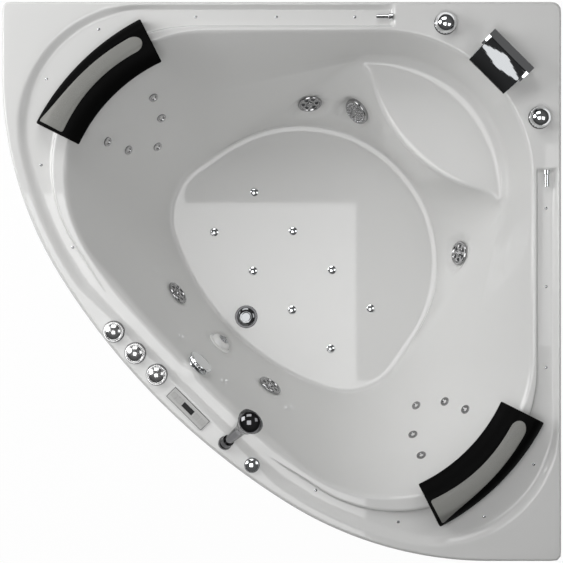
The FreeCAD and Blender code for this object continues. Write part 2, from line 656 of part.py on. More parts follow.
# Floor air injectors and their pipes
pipe_z = floor_z - wall - size("air_pipe_drop")
injector = turned("injector_master", [
    ("0", "0 - shell_wall - air_pipe_drop"), ("injector_stem", "0 - shell_wall - air_pipe_drop"),
    ("injector_stem", "0"), ("injector_cap", "0"), ("injector_cap", "1"),
    ("0", "injector_rise", "0 - (injector_rise - 1) / 4")])
rows = (size("injector_near_u"), size("injector_far_u"))
columns = (size("injector_out_v"), size("injector_in_v"), -size("injector_in_v"), -size("injector_out_v"))
injector_spots = [upright(u, v, floor_z) for u in rows for v in columns]
rails = []
wells = []
end_v = size("injector_out_v") + size("air_pipe")
blower_side = size("shelf_v") - size("blower_radius") - size("blower_port_long")
rails.append(spoke("air_rail_near", at(rows[0], -end_v, pipe_z), at(rows[0], end_v, pipe_z), "air_pipe"))
rails.append(spoke("air_rail_far", at(rows[1], -end_v, pipe_z),
                   at(rows[1], blower_side - size("seat_gap"), pipe_z),
                   "air_pipe"))
for side in (1, -1):
    tie_v = side * size("injector_out_v")
    rails.append(spoke("air_tie_%d" % (side + 1), at(rows[0], tie_v, pipe_z), at(rows[1], tie_v, pipe_z),
                       "air_tie"))
for number, spot in enumerate(injector_spots):
    shell_tools.append(rod("injector_%d_hole" % number, "injector_stem + seat_gap", "30", upright(
        spot.Base.x, spot.Base.y, floor_z - 20)))
    wells.append(rod("injector_%d_well" % number, "injector_stem + seat_gap", "30", upright(
        spot.Base.x, spot.Base.y, pipe_z - size("seat_gap"))))
air_pipes = cut("air_pipes_cut", fused("air_rails", rails), together("air_wells", wells))
finish(air_pipes, "air_pipes")

# Suction fitting
suction_spot = wall_place(size("suction_u"), size("suction_v"))
seat_on_shell("suction", suction_spot, "suction_cover", "suction_shank")
suction_body = turned("suction_body", [
    ("screw_shank + seat_gap", "0 - 8"), ("suction_bore", "0 - 8"), ("suction_bore", "0 - suction_depth"),
    ("suction_shank", "0 - suction_depth"), ("suction_shank", "0"), ("suction_flange", "0"),
    ("suction_flange", "suction_flange_thick"), ("screw_shank + seat_gap", "suction_flange_thick")])
ring_of_holes(suction_body, "suction_screw", "suction_pitch_in - 1", 7)
finish(suction_body, "suction_body", suction_spot)
suction_cover = turned("suction_cover", [
    ("screw_shank + seat_gap", "suction_cover_rise - suction_wall"),
    ("suction_cover - suction_wall - 5", "suction_cover_rise - suction_wall"),
    ("suction_cover - suction_wall", "suction_cover_rise - suction_wall - 5"),
    ("suction_cover - suction_wall", "seat_gap"), ("suction_cover", "seat_gap"),
    ("suction_cover", "suction_cover_rise - 6"), ("suction_cover - 6", "suction_cover_rise", "0 - 2"),
    ("screw_shank + seat_gap", "suction_cover_rise")])
ring_of_holes(suction_cover, "suction_slot", "suction_pitch_in", 8)
ring_of_holes(suction_cover, "suction_slot", "suction_pitch_mid", 14)
ring_of_holes(suction_cover, "suction_slot", "suction_pitch_out", 20)
finish(suction_cover, "suction_cover", suction_spot)
suction_screw = turned("suction_screw", [
    ("0", "0 - 6"), ("screw_shank", "0 - 6"), ("screw_shank", "suction_cover_rise"),
    ("screw_head", "suction_cover_rise"), ("screw_head", "suction_cover_rise + 1"),
    ("0", "suction_cover_rise + screw_head_rise", "0 - 0.35")])

# Underwater light
light_spot = wall_place(size("light_u"), 0.0)
seat_on_shell("light", light_spot, "light_flange", "light_shank")
light_housing = turned("light_housing", [
    ("0", "0 - light_depth"), ("light_shank", "0 - light_depth"), ("light_shank", "0"),
    ("light_flange", "0"),
    ("light_lens + 4", "light_flange_thick", "0 - 2"), ("light_lens + seat_gap", "light_flange_thick"),
    ("light_lens + seat_gap", "light_flange_thick - 3"), ("0", "light_flange_thick - 3")])
finish(light_housing, "light_housing", light_spot)
light_lens = turned("light_lens", [
    ("0", "light_flange_thick - 3"), ("light_lens", "light_flange_thick - 3"),
    ("light_lens", "light_flange_thick"),
    ("0", "light_flange_thick + light_lens_rise", "0 - light_lens_rise / 4")])
finish(light_lens, "light_lens", light_spot)

# Overflow with its turning knob
overflow_spot = wall_place(size("overflow_u"), 0.0)
seat_on_shell("overflow", overflow_spot, "overflow_flange", "overflow_shank")
overflow_flange = turned("overflow_flange", [
    ("overflow_bore + run_fit", "0 - overflow_depth"), ("overflow_shank", "0 - overflow_depth"),
    ("overflow_shank", "0"), ("overflow_flange", "0"), ("overflow_flange", "overflow_flange_thick"),
    ("overflow_bore + run_fit", "overflow_flange_thick")])
ring_of_holes(overflow_flange, "back_bore - 2", "suction_pitch_in - 2", 7)
finish(overflow_flange, "overflow_flange", overflow_spot)
knob_top = "overflow_stand + overflow_knob_thick"
overflow_knob = turned("overflow_knob", [
    ("0", "0 - overflow_depth + 10"), ("overflow_bore", "0 - overflow_depth + 10"),
    ("overflow_bore", "overflow_stand"),
    ("overflow_knob - 2", "overflow_stand"), ("overflow_knob", "overflow_stand + 2"),
    ("overflow_knob", knob_top + " - 3"), ("overflow_knob - 3", knob_top, "0 - 0.9"),
    ("0", knob_top + " + 2", "0 - 0.5")])
ring_of_holes(overflow_knob, "flute", "overflow_knob", 24)
finish(overflow_knob, "overflow_knob", overflow_spot)

# Pop-up drain
drain_spot = upright(size("drain_u"), 0, floor_z)
shell_tools.append(rod("drain_hole", "drain_tail + seat_gap", "40",
                       upright(size("drain_u"), 0, floor_z - 20)))
drain_flange = turned("drain_flange", [
    ("drain_stem + run_fit", "0 - drain_web"), ("drain_bore", "0 - drain_web"),
    ("drain_bore", "0 - drain_tail_depth"),
    ("drain_tail", "0 - drain_tail_depth"), ("drain_tail", "0"), ("drain_flange", "0"),
    ("drain_flange - 1.5", "drain_flange_thick"), ("drain_stem + run_fit", "drain_flange_thick")])
ring_of_holes(drain_flange, "drain_port", "drain_port_pitch", 6)
finish(drain_flange, "drain_flange", drain_spot)
plug_low = "drain_flange_thick + seat_gap"
drain_plug = turned("drain_plug", [
    ("0", "0 - drain_stem_depth"), ("drain_stem", "0 - drain_stem_depth"), ("drain_stem", plug_low),
    ("drain_plug - 2", plug_low), ("drain_plug", plug_low + " + drain_plug_edge"),
    ("0", plug_low + " + drain_plug_edge + drain_plug_rise", "0 - drain_plug_rise / 4")])
finish(drain_plug, "drain_plug", drain_spot)

# Trap below the drain, with the waste pipe to the wall
tail_z = floor_z - size("drain_tail_depth")
trap_block = fused("trap_block", [
    rod("trap_body", "trap_cup", "floor_height - drain_tail_depth + 10 - trap_low",
        upright(size("drain_u"), 0, size("trap_low"))),
    spoke("waste_run", at(size("drain_u"), 0, size("waste_level")),
          at(size("waste_end_u") - size("waste_spigot_long"), 0, size("waste_level")), "waste_pipe"),
    spoke("waste_spigot", at(size("drain_u"), 0, size("waste_level")),
          at(size("waste_end_u"), 0, size("waste_level")), "waste_spigot")])
trap_hollow = together("trap_hollow", [
    rod("trap_socket",
        "drain_tail + seat_gap", "20", upright(size("drain_u"), 0, tail_z - size("seat_gap"))),
    rod("trap_inside", "drain_bore", "floor_height - drain_tail_depth - trap_low - 6",
        upright(size("drain_u"), 0, size("trap_low") + 6)),
    spoke("waste_inside", at(size("drain_u"), 0, size("waste_level")),
          at(size("waste_end_u") + 1, 0, size("waste_level")), "waste_bore")])
drain_trap = cut("drain_trap_cut", trap_block, trap_hollow)
finish(drain_trap, "drain_trap")

# Overflow pipe down to the drain
overflow_axis = overflow_spot.Rotation.multVec(UP)
pipe_top = overflow_spot.Base - overflow_axis * (size("overflow_depth") + size("seat_gap"))
elbow = pipe_top - overflow_axis * 26
overflow_pipe = piped("overflow_pipe_run", [
    pipe_top, elbow, at(elbow.x, 0, size("overflow_level")),
    at(size("drain_u") - size("drain_tail") - size("seat_gap"), 0, size("overflow_level"))],
    size("overflow_pipe"), 22)
finish(overflow_pipe, "overflow_pipe")


def valve(name, prefix):
    """A valve body under the deck, with the round base that its knob stands on."""
    return turned(name, [
        ("0", "0 - %s_tail_depth" % prefix), ("%s_tail" % prefix, "0 - %s_tail_depth" % prefix),
        ("%s_tail" % prefix, "0 - %s_shank_depth" % prefix), ("%s_shank" % prefix,
                                                              "0 - %s_shank_depth" % prefix),
        ("%s_shank" % prefix, "0"), ("%s_base" % prefix, "0"),
        ("%s_base - 1" % prefix, "%s_base_thick" % prefix),
        ("%s_stem + run_fit" % prefix, "%s_base_thick" % prefix),
        ("%s_stem + run_fit" % prefix, "0 - %s_stem_depth - 1" % prefix),
        ("0", "0 - %s_stem_depth - 1" % prefix)])


# Hot and cold taps beside the spout
tap_spots = [upright(size("tap_u"), side * size("tap_v"), rim_z) for side in (1, -1)]
tap_valve = valve("tap_valve_master", "tap")
knob_low = "tap_base_thick + seat_gap"
for name, spot in zip(("hot_tap_knob", "cold_tap_knob"), tap_spots):
    deck_hole(name, spot.Base.x, spot.Base.y, "tap_shank")
    knob = turned(name, [
        ("0", "0 - tap_stem_depth"), ("tap_stem", "0 - tap_stem_depth"), ("tap_stem", knob_low),
        ("tap_knob - 1.5", knob_low), ("tap_knob", knob_low + " + 1.5"),
        ("tap_knob", knob_low + " + tap_knob_side"),
        ("0", knob_low + " + tap_knob_side + tap_knob_rise", "0 - tap_knob_rise / 4")])
    ring_of_holes(knob, "flute", "tap_knob", 20)
    finish(knob, name, spot)

# Three knobs in a row on the front deck
knob_spots = [upright(size("row_u"), size(level), rim_z) for level in ("knob_first_v", "knob_second_v",
                                                                       "knob_third_v")]
knob_valve = valve("knob_valve_master", "knob")
skirt_low = "knob_base_thick + seat_gap"
skirt_top = skirt_low + " + knob_side"
for name, spot in zip(("air_knob_left", "air_knob_right", "diverter_knob"), knob_spots):
    deck_hole(name, spot.Base.x, spot.Base.y, "knob_shank")
    knob = turned(name, [
        ("0", "0 - knob_stem_depth"), ("knob_stem", "0 - knob_stem_depth"), ("knob_stem", skirt_low),
        ("knob_skirt", skirt_low), ("knob_skirt", skirt_top), ("knob_skirt - 3.5", skirt_top + " + 2"),
        ("knob_skirt - 6", skirt_top), ("0", skirt_top + " + knob_rise", "0 - knob_rise / 4")])
    ring_of_holes(knob, "flute", "knob_skirt", 28)
    finish(knob, name, spot)

# Push button in its sleeve
button_spot = upright(size("button_u"), size("button_v"), rim_z)
deck_hole("button", size("button_u"), size("button_v"), "button_sleeve")
button_sleeve = turned("button_sleeve", [
    ("0", "0 - button_depth"), ("button_sleeve", "0 - button_depth"), ("button_sleeve", "0"),
    ("button_ring", "0"),
    ("button_ring - 1", "button_ring_thick"), ("button_stem + slide_fit", "button_ring_thick"),
    ("button_stem + slide_fit", "0 - button_stem_depth - button_travel - 2"),
    ("0", "0 - button_stem_depth - button_travel - 2")])
finish(button_sleeve, "button_sleeve", button_spot)
cap_low = "button_ring_thick + seat_gap + button_travel"
push_button = turned("push_button", [
    ("0", "0 - button_stem_depth"), ("button_stem", "0 - button_stem_depth"), ("button_stem", cap_low),
    ("button_cap", cap_low), ("button_cap", cap_low + " + button_edge"),
    ("0", cap_low + " + button_edge + button_rise", "0 - button_rise / 4")])
finish(push_button, "push_button", button_spot)

# Control panel: its long side runs along v
panel_spot = upright(size("panel_u"), size("panel_v"), rim_z, 90)


def on_panel(along, across, height):
    return panel_spot.multiply(upright(along, across, height))


shell_tools.append(slab("panel_hole", "panel_box_long + 2 * seat_gap", "panel_box_wide + 2 * seat_gap",
                        "60",
                        on_panel(0, 0, -50)))
panel_block = fused("panel_block", [
    slab("panel_plate", "panel_long", "panel_wide", "panel_rise", on_panel(0, 0, 0)),
    slab("panel_box", "panel_box_long", "panel_box_wide", "panel_box_deep + 1",
         on_panel(0, 0, -size("panel_box_deep")))])
key_places = {"pump": -size("key_far_v"), "air": -size("key_near_v"), "light": size("key_near_v"),
              "heater": size("key_far_v")}
panel_wells = [slab("display_well", "display_long + 2 * seat_gap", "display_wide + 2 * seat_gap", "20",
                    on_panel(0, 0, size("panel_rise") - size("display_thick")))]
for name, along in key_places.items():
    panel_wells.append(slab("key_%s_well" % name, "key_long + 2 * seat_gap", "key_wide + 2 * seat_gap",
                            "20",
                            on_panel(along, 0, size("panel_rise") - size("key_well"))))
panel_housing = cut("panel_housing_cut", panel_block, together("panel_wells", panel_wells))
finish(panel_housing, "panel_housing")
display = slab("panel_display_slab", "display_long", "display_wide", "display_thick",
               on_panel(0, 0, size("panel_rise") - size("display_thick")))
finish(display, "panel_display", display.Placement)
for name, along in key_places.items():
    key = slab("panel_key_%s_slab" % name, "key_long", "key_wide", "key_thick",
               on_panel(along, 0, size("panel_rise") + size("key_proud") - size("key_thick")))
    finish(key, "panel_key_" + name, key.Placement)

# Hand shower in its deck socket
lean = math.radians(size("shower_lean"))
shower_axis = at(math.sin(lean), 0, math.cos(lean))
socket_centre = at(size("row_u"), size("shower_v"), rim_z + size("socket_tube") + size("seat_gap"))
deck_hole("shower_socket", size("row_u"), size("shower_v"), "socket_tail")
ball = doc.addObject("Part::Sphere", "socket_ball")
ball.setExpression("Radius", bound("socket_ball"))
ball.Placement = upright(*socket_centre)
socket_block = fused("socket_block", [
    rod("socket_base", "socket_base", "socket_base_thick", upright(size("row_u"), size("shower_v"), rim_z)),
    rod("socket_neck", "socket_tube", "socket_tube", upright(size("row_u"), size("shower_v"), rim_z)),
    ball, rod("socket_tube", "socket_tube", "socket_tube_long", aimed(socket_centre, shower_axis)),
    rod("socket_tail", "socket_tail", "socket_tail_depth + 1",
        upright(size("row_u"), size("shower_v"), rim_z - size("socket_tail_depth")))])
foot_spot = aimed(socket_centre + shower_axis * (size("socket_tube_long") - size("handle_sink")),
                  shower_axis)
socket_bore = rod("socket_bore", "handle_foot + slide_fit", "60",
                  foot_spot.multiply(upright(0, 0, -size("seat_gap"))))
finish(cut("shower_socket_cut", socket_block, socket_bore), "shower_socket")
handset = turned("handset_turned", [
    ("0", "0"), ("handle_foot", "0"), ("handle_foot", "handle_sink + 6"), ("handle_top", "handle_long"),
    ("head_radius", "head_middle", "6"), ("0", "head_end", "0 - 10")])
spray_cut = slab("spray_cut", "80", "120", "120", upright(size("spray_offset") + 40, 0, size("head_start")))
hand_shower = cut("hand_shower_cut", handset, spray_cut)
finish(hand_shower, "hand_shower", foot_spot)
spray_plate = turned("spray_plate", [
    ("0", "0"), ("spray_plate", "0"), ("spray_plate - 1", "spray_thick"),
    ("0", "spray_thick + 1", "0 - 0.25")])
ring_of_holes(spray_plate, "spray_hole", "spray_pitch", 14)
ring_of_holes(spray_plate, "spray_hole", "spray_pitch_in", 8)
spray_spot = aimed(at(size("spray_offset"), 0, size("head_middle")), at(1, 0, 0))
finish(spray_plate, "spray_plate", foot_spot.multiply(spray_spot))

# Waterfall spout: a bent hood on a base block
spout_hood, hood_sketch = new_body("spout_hood", "XZ_Plane")
draw(hood_sketch, [
    ("spout_throat_u", "spout_base_thick"), ("spout_ridge_u", "spout_base_thick"),
    ("spout_ridge_u", "spout_ridge"),
    ("spout_lip_u", "spout_lip", "0 - spout_crown"), ("spout_lip_u", "spout_lip - spout_sheet"),
    ("spout_throat_u", "spout_ridge - 2 * spout_sheet", "spout_crown")])
hood_pad = spout_hood.newObject("PartDesign::Pad", "spout_hood_pad")
hood_pad.Profile = hood_sketch
hood_pad.setExpression("Length", bound("spout_wide"))
hood_pad.Midplane = True
spout_hood.Tip = hood_pad
finish(spout_hood, "spout_hood", upright(0, 0, rim_z))
plate_start = size("spout_throat_u") - 10
plate_middle = (plate_start + size("spout_back_u")) / 2.0
block_middle = (size("spout_ridge_u") + size("seat_gap") + size("spout_back_u")) / 2.0
spout_base = fused("spout_base_block", [
    slab("spout_plate", "spout_back_u - spout_throat_u + 10", "spout_base_wide", "spout_base_thick",
         upright(plate_middle, 0, rim_z)),
    slab("spout_back", "spout_back_u - spout_ridge_u - seat_gap", "spout_base_wide", "spout_ridge - 8",
         upright(block_middle, 0, rim_z))])
finish(spout_base, "spout_base")
inlet_u = size("spout_throat_u") + 6
mix_z = rim_z - size("mixing_drop")
deck_hole("spout_inlet", inlet_u, 0, "spout_inlet")
inlet_parts = [rod("inlet_body", "spout_inlet", "spout_inlet_depth",
                   upright(inlet_u, 0, rim_z - size("spout_inlet_depth")))]
for spot in tap_spots:
    centre = at(inlet_u, 0, mix_z)
    toward = at(spot.Base.x, spot.Base.y, mix_z) - centre
    reach = toward.Length - size("tap_shank") - size("seat_gap")
    inlet_parts.append(spoke("mixing_pipe_%d" % len(inlet_parts), centre,
                             centre + toward.normalize() * reach, "mixing_pipe"))
finish(fused("spout_inlet_block", inlet_parts), "spout_inlet")

# Small outlets at the two channel ends and the rim lights
along_wall = at(-1 / ROOT2, 1 / ROOT2)
to_wall = at(1 / ROOT2, 1 / ROOT2)
channel_middle = (half - size("wall_strip") + wall_line + size("inner_strip")) / 2.0
outlet = turned("outlet_master", [
    ("0", "0"), ("outlet_collar", "0"), ("outlet_collar", "outlet_collar_long"),
    ("outlet_tube", "outlet_collar_long + 2"),
    ("outlet_tube", "outlet_collar_long + outlet_long"), ("outlet_bore",
                                                          "outlet_collar_long + outlet_long"),
    ("outlet_bore", "outlet_collar_long + outlet_long - 24"), ("0",
                                                               "outlet_collar_long + outlet_long - 24")])
outlet_x = half - size("channel_end") - size("seat_gap")
outlet_z = deep + size("outlet_collar") + size("seat_gap")
outlet_left = to_wall * channel_middle - along_wall * outlet_x + at(0, 0, outlet_z)


def across_diagonal(spot):
    return at(spot.x, -spot.y, spot.z)


outlet_spots = [aimed(outlet_left, along_wall), aimed(across_diagonal(outlet_left),
                                                      across_diagonal(along_wall))]
rim_light = turned("rim_light_master", [
    ("0", "0 - rim_light_deep"), ("rim_light_pin", "0 - rim_light_deep"), ("rim_light_pin", "0"),
    ("rim_light", "0"),
    ("rim_light", "0.4"), ("0", "rim_light_rise", "0 - (rim_light_rise - 0.4) / 4")])
light_marks = [to_wall * channel_middle + along_wall * (size(run) - half)
               for run in ("light_run_first", "light_run_second", "light_run_third")]
ledge_middle = ledge_outline(0.0)[1].toShape().Curve.Center
for turn_name in ("light_turn_first", "light_turn_second", "light_turn_third"):
    turn = math.radians(size(turn_name))
    light_marks.append(ledge_middle + at(math.cos(turn), math.sin(turn)) * size("light_turn_radius"))
light_marks.append(at(size("light_front_u"), size("light_front_v")))
light_spots = []
for mark in light_marks:
    for side in (1, -1):
        spot = upright(mark.x, side * mark.y, deep)
        light_spots.append(spot)
        shell_tools.append(rod("rim_light_%d_hole" % len(light_spots), "rim_light_pin + seat_gap", "20",
                               upright(mark.x, side * mark.y, deep - 12)))


def cushion(name, half_angle, corners, side):
    """A padded piece: a section carried round an upright axis, the same angle to both sides."""
    body, sketch = new_body(name, "XZ_Plane")
    draw(sketch, corners)
    turning = body.newObject("PartDesign::Revolution", name + "_turning")
    turning.Profile = sketch
    turning.ReferenceAxis = (sketch, ["V_Axis"])
    turning.Midplane = True
    turning.setExpression("Angle", bound("2 * " + half_angle))
    body.Tip = turning
    return finish(body, name, upright(size("rest_u"), side * size("rest_v"), rim_z, side * 90))


# Headrests, standing on the ledge and reaching over the inner strip
pocket_low = "rest_crest - inset_deep"
for name, side in (("headrest_left", 1), ("headrest_right", -1)):
    cushion(name, "rest_half", [
        ("rest_outer", "seat_gap - ledge_depth"), ("rest_outer", "rest_back"),
        ("inset_outer", "rest_crest", "0 - 4"),
        ("inset_outer", pocket_low), ("inset_inner", pocket_low + " - 3"),
        ("inset_inner", "rest_crest - 3"),
        ("rest_inner", "rest_front", "0 - 8"), ("rest_inner + 4", "seat_gap"), ("rest_step", "seat_gap"),
        ("rest_step", "seat_gap - ledge_depth")], side)
    cushion(name + "_inset", "inset_half", [
        ("inset_outer - seat_gap", pocket_low + " + seat_gap"),
        ("inset_outer - seat_gap", "rest_crest + 1"),
        ("inset_inner + seat_gap", "rest_crest - 2", "0 - 1.5"),
        ("inset_inner + seat_gap", pocket_low + " + seat_gap - 3")], side)

# Base frame of square tube
frame_z = size("frame_low")
frame_top = frame_z + size("tube")
trough_z = deep - wall
post_marks = {
    "corner": (at(size("post_corner_u"), 0), rim_z - wall, 45),
    "left": (at(size("post_end_u"), size("post_end_v")), trough_z, 45),
    "front_left": (at(size("post_front_u"), size("post_front_v")), trough_z, 0),
    "front_right": (at(size("post_front_u"), -size("post_front_v")), trough_z, 0),
    "right": (at(size("post_end_u"), -size("post_end_v")), trough_z, 45),
}
frame_pieces = []
post_blocks = []
for name, (mark, top, spin) in post_marks.items():
    tall = "%.6f" % (top - frame_z - size("seat_gap"))
    post_blocks.append(slab("post_%s_block" % name, "tube", "tube", tall,
                            upright(mark.x, mark.y, frame_z, spin)))
    inside = slab("post_%s_inside" % name, "tube - 2 * tube_wall", "tube - 2 * tube_wall", tall,
                  upright(mark.x, mark.y, frame_z + size("tube_wall"), spin))
    stud_hole = rod("post_%s_hole" % name, "foot_stud + run_fit", "20",
                    upright(mark.x, mark.y, frame_z - 5))
    frame_pieces.append(cut("post_" + name,
                            post_blocks[-1], together("post_%s_hollow" % name, [inside, stud_hole])))
posts = together("post_blocks", post_blocks)
beam_blocks = []
order = ["corner", "left", "front_left", "front_right", "right", "corner"]


def bar_between(name, start, end, wide, height):
    """A hollow square bar from one plan point to another, its bottom at a height."""
    along = end - start
    spin = math.degrees(math.atan2(along.y, along.x))
    middle = (start + end) * 0.5
    long = "%.6f" % along.Length
    block = slab(name + "_block", long, wide, wide, upright(middle.x, middle.y, height, spin))
    inside = slab(name + "_inside", long, wide + " - 2 * tube_wall", wide + " - 2 * tube_wall",
                  upright(middle.x, middle.y, height + size("tube_wall"), spin))
    return block, cut(name + "_tube", block, inside)


for first, last in zip(order, order[1:]):
    name = "beam_%s_%s" % (first, last)
    block, tube = bar_between(name, post_marks[first][0], post_marks[last][0], "tube", frame_z)
    beam_blocks.append(block)
    frame_pieces.append(cut(name, tube, posts))
beams = together("beam_blocks", beam_blocks + [posts])
bearer_z = frame_top - size("bearer")
for name, side in (("bearer_left", 1), ("bearer_right", -1)):
    start = at(size("post_front_u"), side * size("bearer_v"))
    slant = (size("post_corner_u") - size("post_end_u")) / size("post_end_v")
    end = at(size("post_corner_u") - size("bearer_v") * slant, side * size("bearer_v"))
    block, tube = bar_between(name, start, end, "bearer", bearer_z)
    frame_pieces.append(cut(name, tube, beams))
shelf_middle = (size("shelf_start_u") + size("shelf_end_u")) / 2.0
for name, side in (("shelf_left", 1), ("shelf_right", -1)):
    frame_pieces.append(slab(name, "shelf_end_u - shelf_start_u", "shelf_wide", "shelf_thick",
                             upright(shelf_middle, side * size("shelf_v"), frame_top)))
finish(together("base_frame_tubes", frame_pieces), "base_frame")
block_tall = "floor_height - shell_wall - frame_low - tube"
blocks = [slab("block_%d_%d" % (row, side + 1), "block_long", "bearer", block_tall,
               upright(size(mark), side * size("bearer_v"), frame_top))
          for row, mark in enumerate(("block_near_u", "block_far_u")) for side in (1, -1)]
finish(together("floor_blocks_group", blocks), "floor_blocks")

# Adjustable feet under the posts
foot_spots = [upright(mark.x, mark.y, 0) for mark, top, spin in post_marks.values()]
foot_pad = turned("foot_pad_master", [
    ("0", "0"), ("foot_pad", "0"), ("foot_pad", "5"), ("foot_stud + 6", "foot_pad_thick"),
    ("foot_stud + run_fit", "foot_pad_thick"), ("foot_stud + run_fit", "foot_sink"), ("0", "foot_sink")])
foot_stud = turned("foot_stud_master", [
    ("0", "foot_sink"), ("foot_stud", "foot_sink"), ("foot_stud", "foot_stud_top - 1"),
    ("foot_stud - 1", "foot_stud_top"), ("0", "foot_stud_top")])
nut_block = doc.addObject("Part::Prism", "nut_block")
nut_block.Polygon = 6
nut_block.setExpression("Circumradius", bound("foot_nut"))
nut_block.setExpression("Height", bound("foot_nut_thick"))
nut_block.Placement = upright(0, 0, frame_z - size("foot_nut_thick"))
foot_nut = cut("foot_nut_master",
               nut_block, rod("nut_bore", "foot_stud + run_fit", "200", upright(0, 0, 0)))

# Front apron on clips
apron_stop = at(0, ROOT2 * half) + at(-1 / ROOT2, -1 / ROOT2) * 24


def apron_run(inset):
    shift = at(inset / ROOT2, -inset / ROOT2)
    end = line(apron_stop + shift, end_spot + shift)
    return [end] + front_run(inset) + mirrored([end])


apron_back = size("apron_inset") + size("apron_thick")
outside, inside = apron_run(size("apron_inset")), apron_run(apron_back)
caps = [line(outside[0].StartPoint, inside[0].StartPoint)]
apron_block = raised("apron_block", outside + inside + caps + mirrored(caps), size("apron_foot"),
                     "rim_height - shell_wall - seat_gap - apron_foot")
behind = raised("apron_behind", rim_outline(apron_back + size("seat_gap")), 0.0, "rim_height")
clip_blocks = []
screw_spots = []
post_face = size("post_front_u") - size("tube") / 2.0
# The posts stand behind the front arc, or behind the side arc where they stand past its end
behind_front = size("post_front_v") < size("front_half")
bend_centre = front_centre if behind_front else side_centre
bend_radius = (size("front_radius") if behind_front else side_radius) - size("apron_inset")
lean = math.asin((size("post_front_v") - bend_centre.y) / bend_radius)
outward = at(-math.cos(lean), math.sin(lean))
for side in (1, -1):
    for low in ("clip_low_z", "clip_high_z"):
        clip_blocks.append(slab("clip_%s_%d" % (low, side + 1), "40", "clip_wide", "clip_tall",
                                upright(post_face - 20, side * size("post_front_v"), size(low))))
        spot = bend_centre + outward * bend_radius
        spot.z = size(low) + size("clip_tall") / 2.0
        axis = outward * 1.0
        if side < 0:
            spot, axis = across_diagonal(spot), across_diagonal(axis)
        screw_spots.append(aimed(spot, axis))
clip_common = doc.addObject("Part::Common", "clip_common")
clip_common.Base = together("clip_blocks", clip_blocks)
clip_common.Tool = behind
screw_holes = together("screw_holes", [
    rod("screw_%d_hole" % number, "screw_shank + seat_gap", "60", spot.multiply(upright(0, 0, -30)))
    for number, spot in enumerate(screw_spots)])
finish(cut("front_apron_cut", apron_block, screw_holes), "front_apron")
finish(cut("apron_clips_cut", clip_common, screw_holes), "apron_clips")
apron_screw = turned("apron_screw_master", [
    ("0", "0 - screw_long"), ("screw_shank", "0 - screw_long"), ("screw_shank", "0"), ("screw_head", "0"),
    ("screw_head", "1"), ("0", "screw_head_rise", "0 - (screw_head_rise - 1) / 4")])

# Circulation pump: its axis runs along v
motor_spot = aimed(at(size("pump_u"), size("motor_start_v"), size("pump_axis_z")), at(0, 1, 0))
volute_v = size("motor_start_v") + size("motor_long")
volute_spot = aimed(at(size("pump_u"), volute_v, size("pump_axis_z")), at(0, 1, 0))
motor_drum = turned("motor_drum", [
    ("pump_shaft + run_fit", "0"), ("motor_radius - 12", "0"), ("motor_radius - 4", "8"),
    ("motor_radius - 4", "40"),
    ("motor_radius", "42"), ("motor_radius", "motor_long - 30"), ("motor_radius - 6", "motor_long - 28"),
    ("motor_radius - 6", "motor_long"), ("pump_shaft + run_fit", "motor_long")])
motor_drum.Placement = motor_spot
pedestal_v = size("motor_start_v") + size("motor_long") / 2.0
motor_bed = fused("motor_bed", [
    slab("motor_plate", "motor_foot_wide", "2 * bearer_v + bearer", "6",
         upright(size("pump_u"), 0, frame_top)),
    slab("motor_pedestal", "motor_foot_wide - 40", "motor_long - 70",
         "pump_axis_z - frame_low - tube - motor_radius + 20",
         upright(size("pump_u"), pedestal_v, frame_top)), motor_drum])
motor_clear = rod("motor_clear", "pump_shaft + run_fit", "motor_long + 20",
                  motor_spot.multiply(upright(0, 0, -10)))
finish(cut("pump_motor_cut", motor_bed, motor_clear), "pump_motor")
volute_drum = turned("volute_drum", [
    ("pump_shaft + run_fit", "0"), ("volute_radius", "0"), ("volute_radius", "volute_long"),
    ("pump_port", "volute_long"),
    ("pump_port", "volute_long + pump_port_long"), ("pump_port_bore", "volute_long + pump_port_long"),
    ("pump_port_bore", "volute_long - volute_wall"), ("volute_radius - volute_wall",
                                                      "volute_long - volute_wall"),
    ("volute_radius - volute_wall", "volute_wall"), ("pump_shaft + run_fit", "volute_wall")])
volute_drum.Placement = volute_spot
port_spot = at(size("pump_u"), volute_v + size("volute_long") / 2.0, size("pump_axis_z"))
port_start = port_spot + at(0, 0, size("volute_radius") - size("volute_wall") + 2)
port_end = port_spot + at(0, 0, size("volute_radius") + size("port_lift"))
volute_block = fused("volute_block", [volute_drum, spoke("outlet_port", port_start, port_end, "pump_port")])
port_bore = spoke("outlet_port_bore", port_start - at(0, 0, 12), port_end + at(0, 0, 1), "pump_port_bore")
finish(cut("pump_volute_cut", volute_block, port_bore), "pump_volute")
disc_low = "volute_wall + 4"
disc_top = "volute_wall + 4 + impeller_thick"
impeller_disc = turned("impeller_disc", [
    ("0", "0 - motor_long + 30"), ("pump_shaft", "0 - motor_long + 30"), ("pump_shaft", disc_low),
    ("impeller_radius", disc_low), ("impeller_radius", disc_top), ("0", disc_top)])
vanes = [slab("vane_%d" % number, "impeller_radius - 24", "vane_thick", "vane_tall + 1",
              upright(0,
                      0,
                      value(disc_top) - 1,
                      number * 60).multiply(upright((size("impeller_radius") + 20) / 2.0, 0, 0)))
         for number in range(6)]
finish(fused("pump_impeller_block", [impeller_disc] + vanes), "pump_impeller", volute_spot)

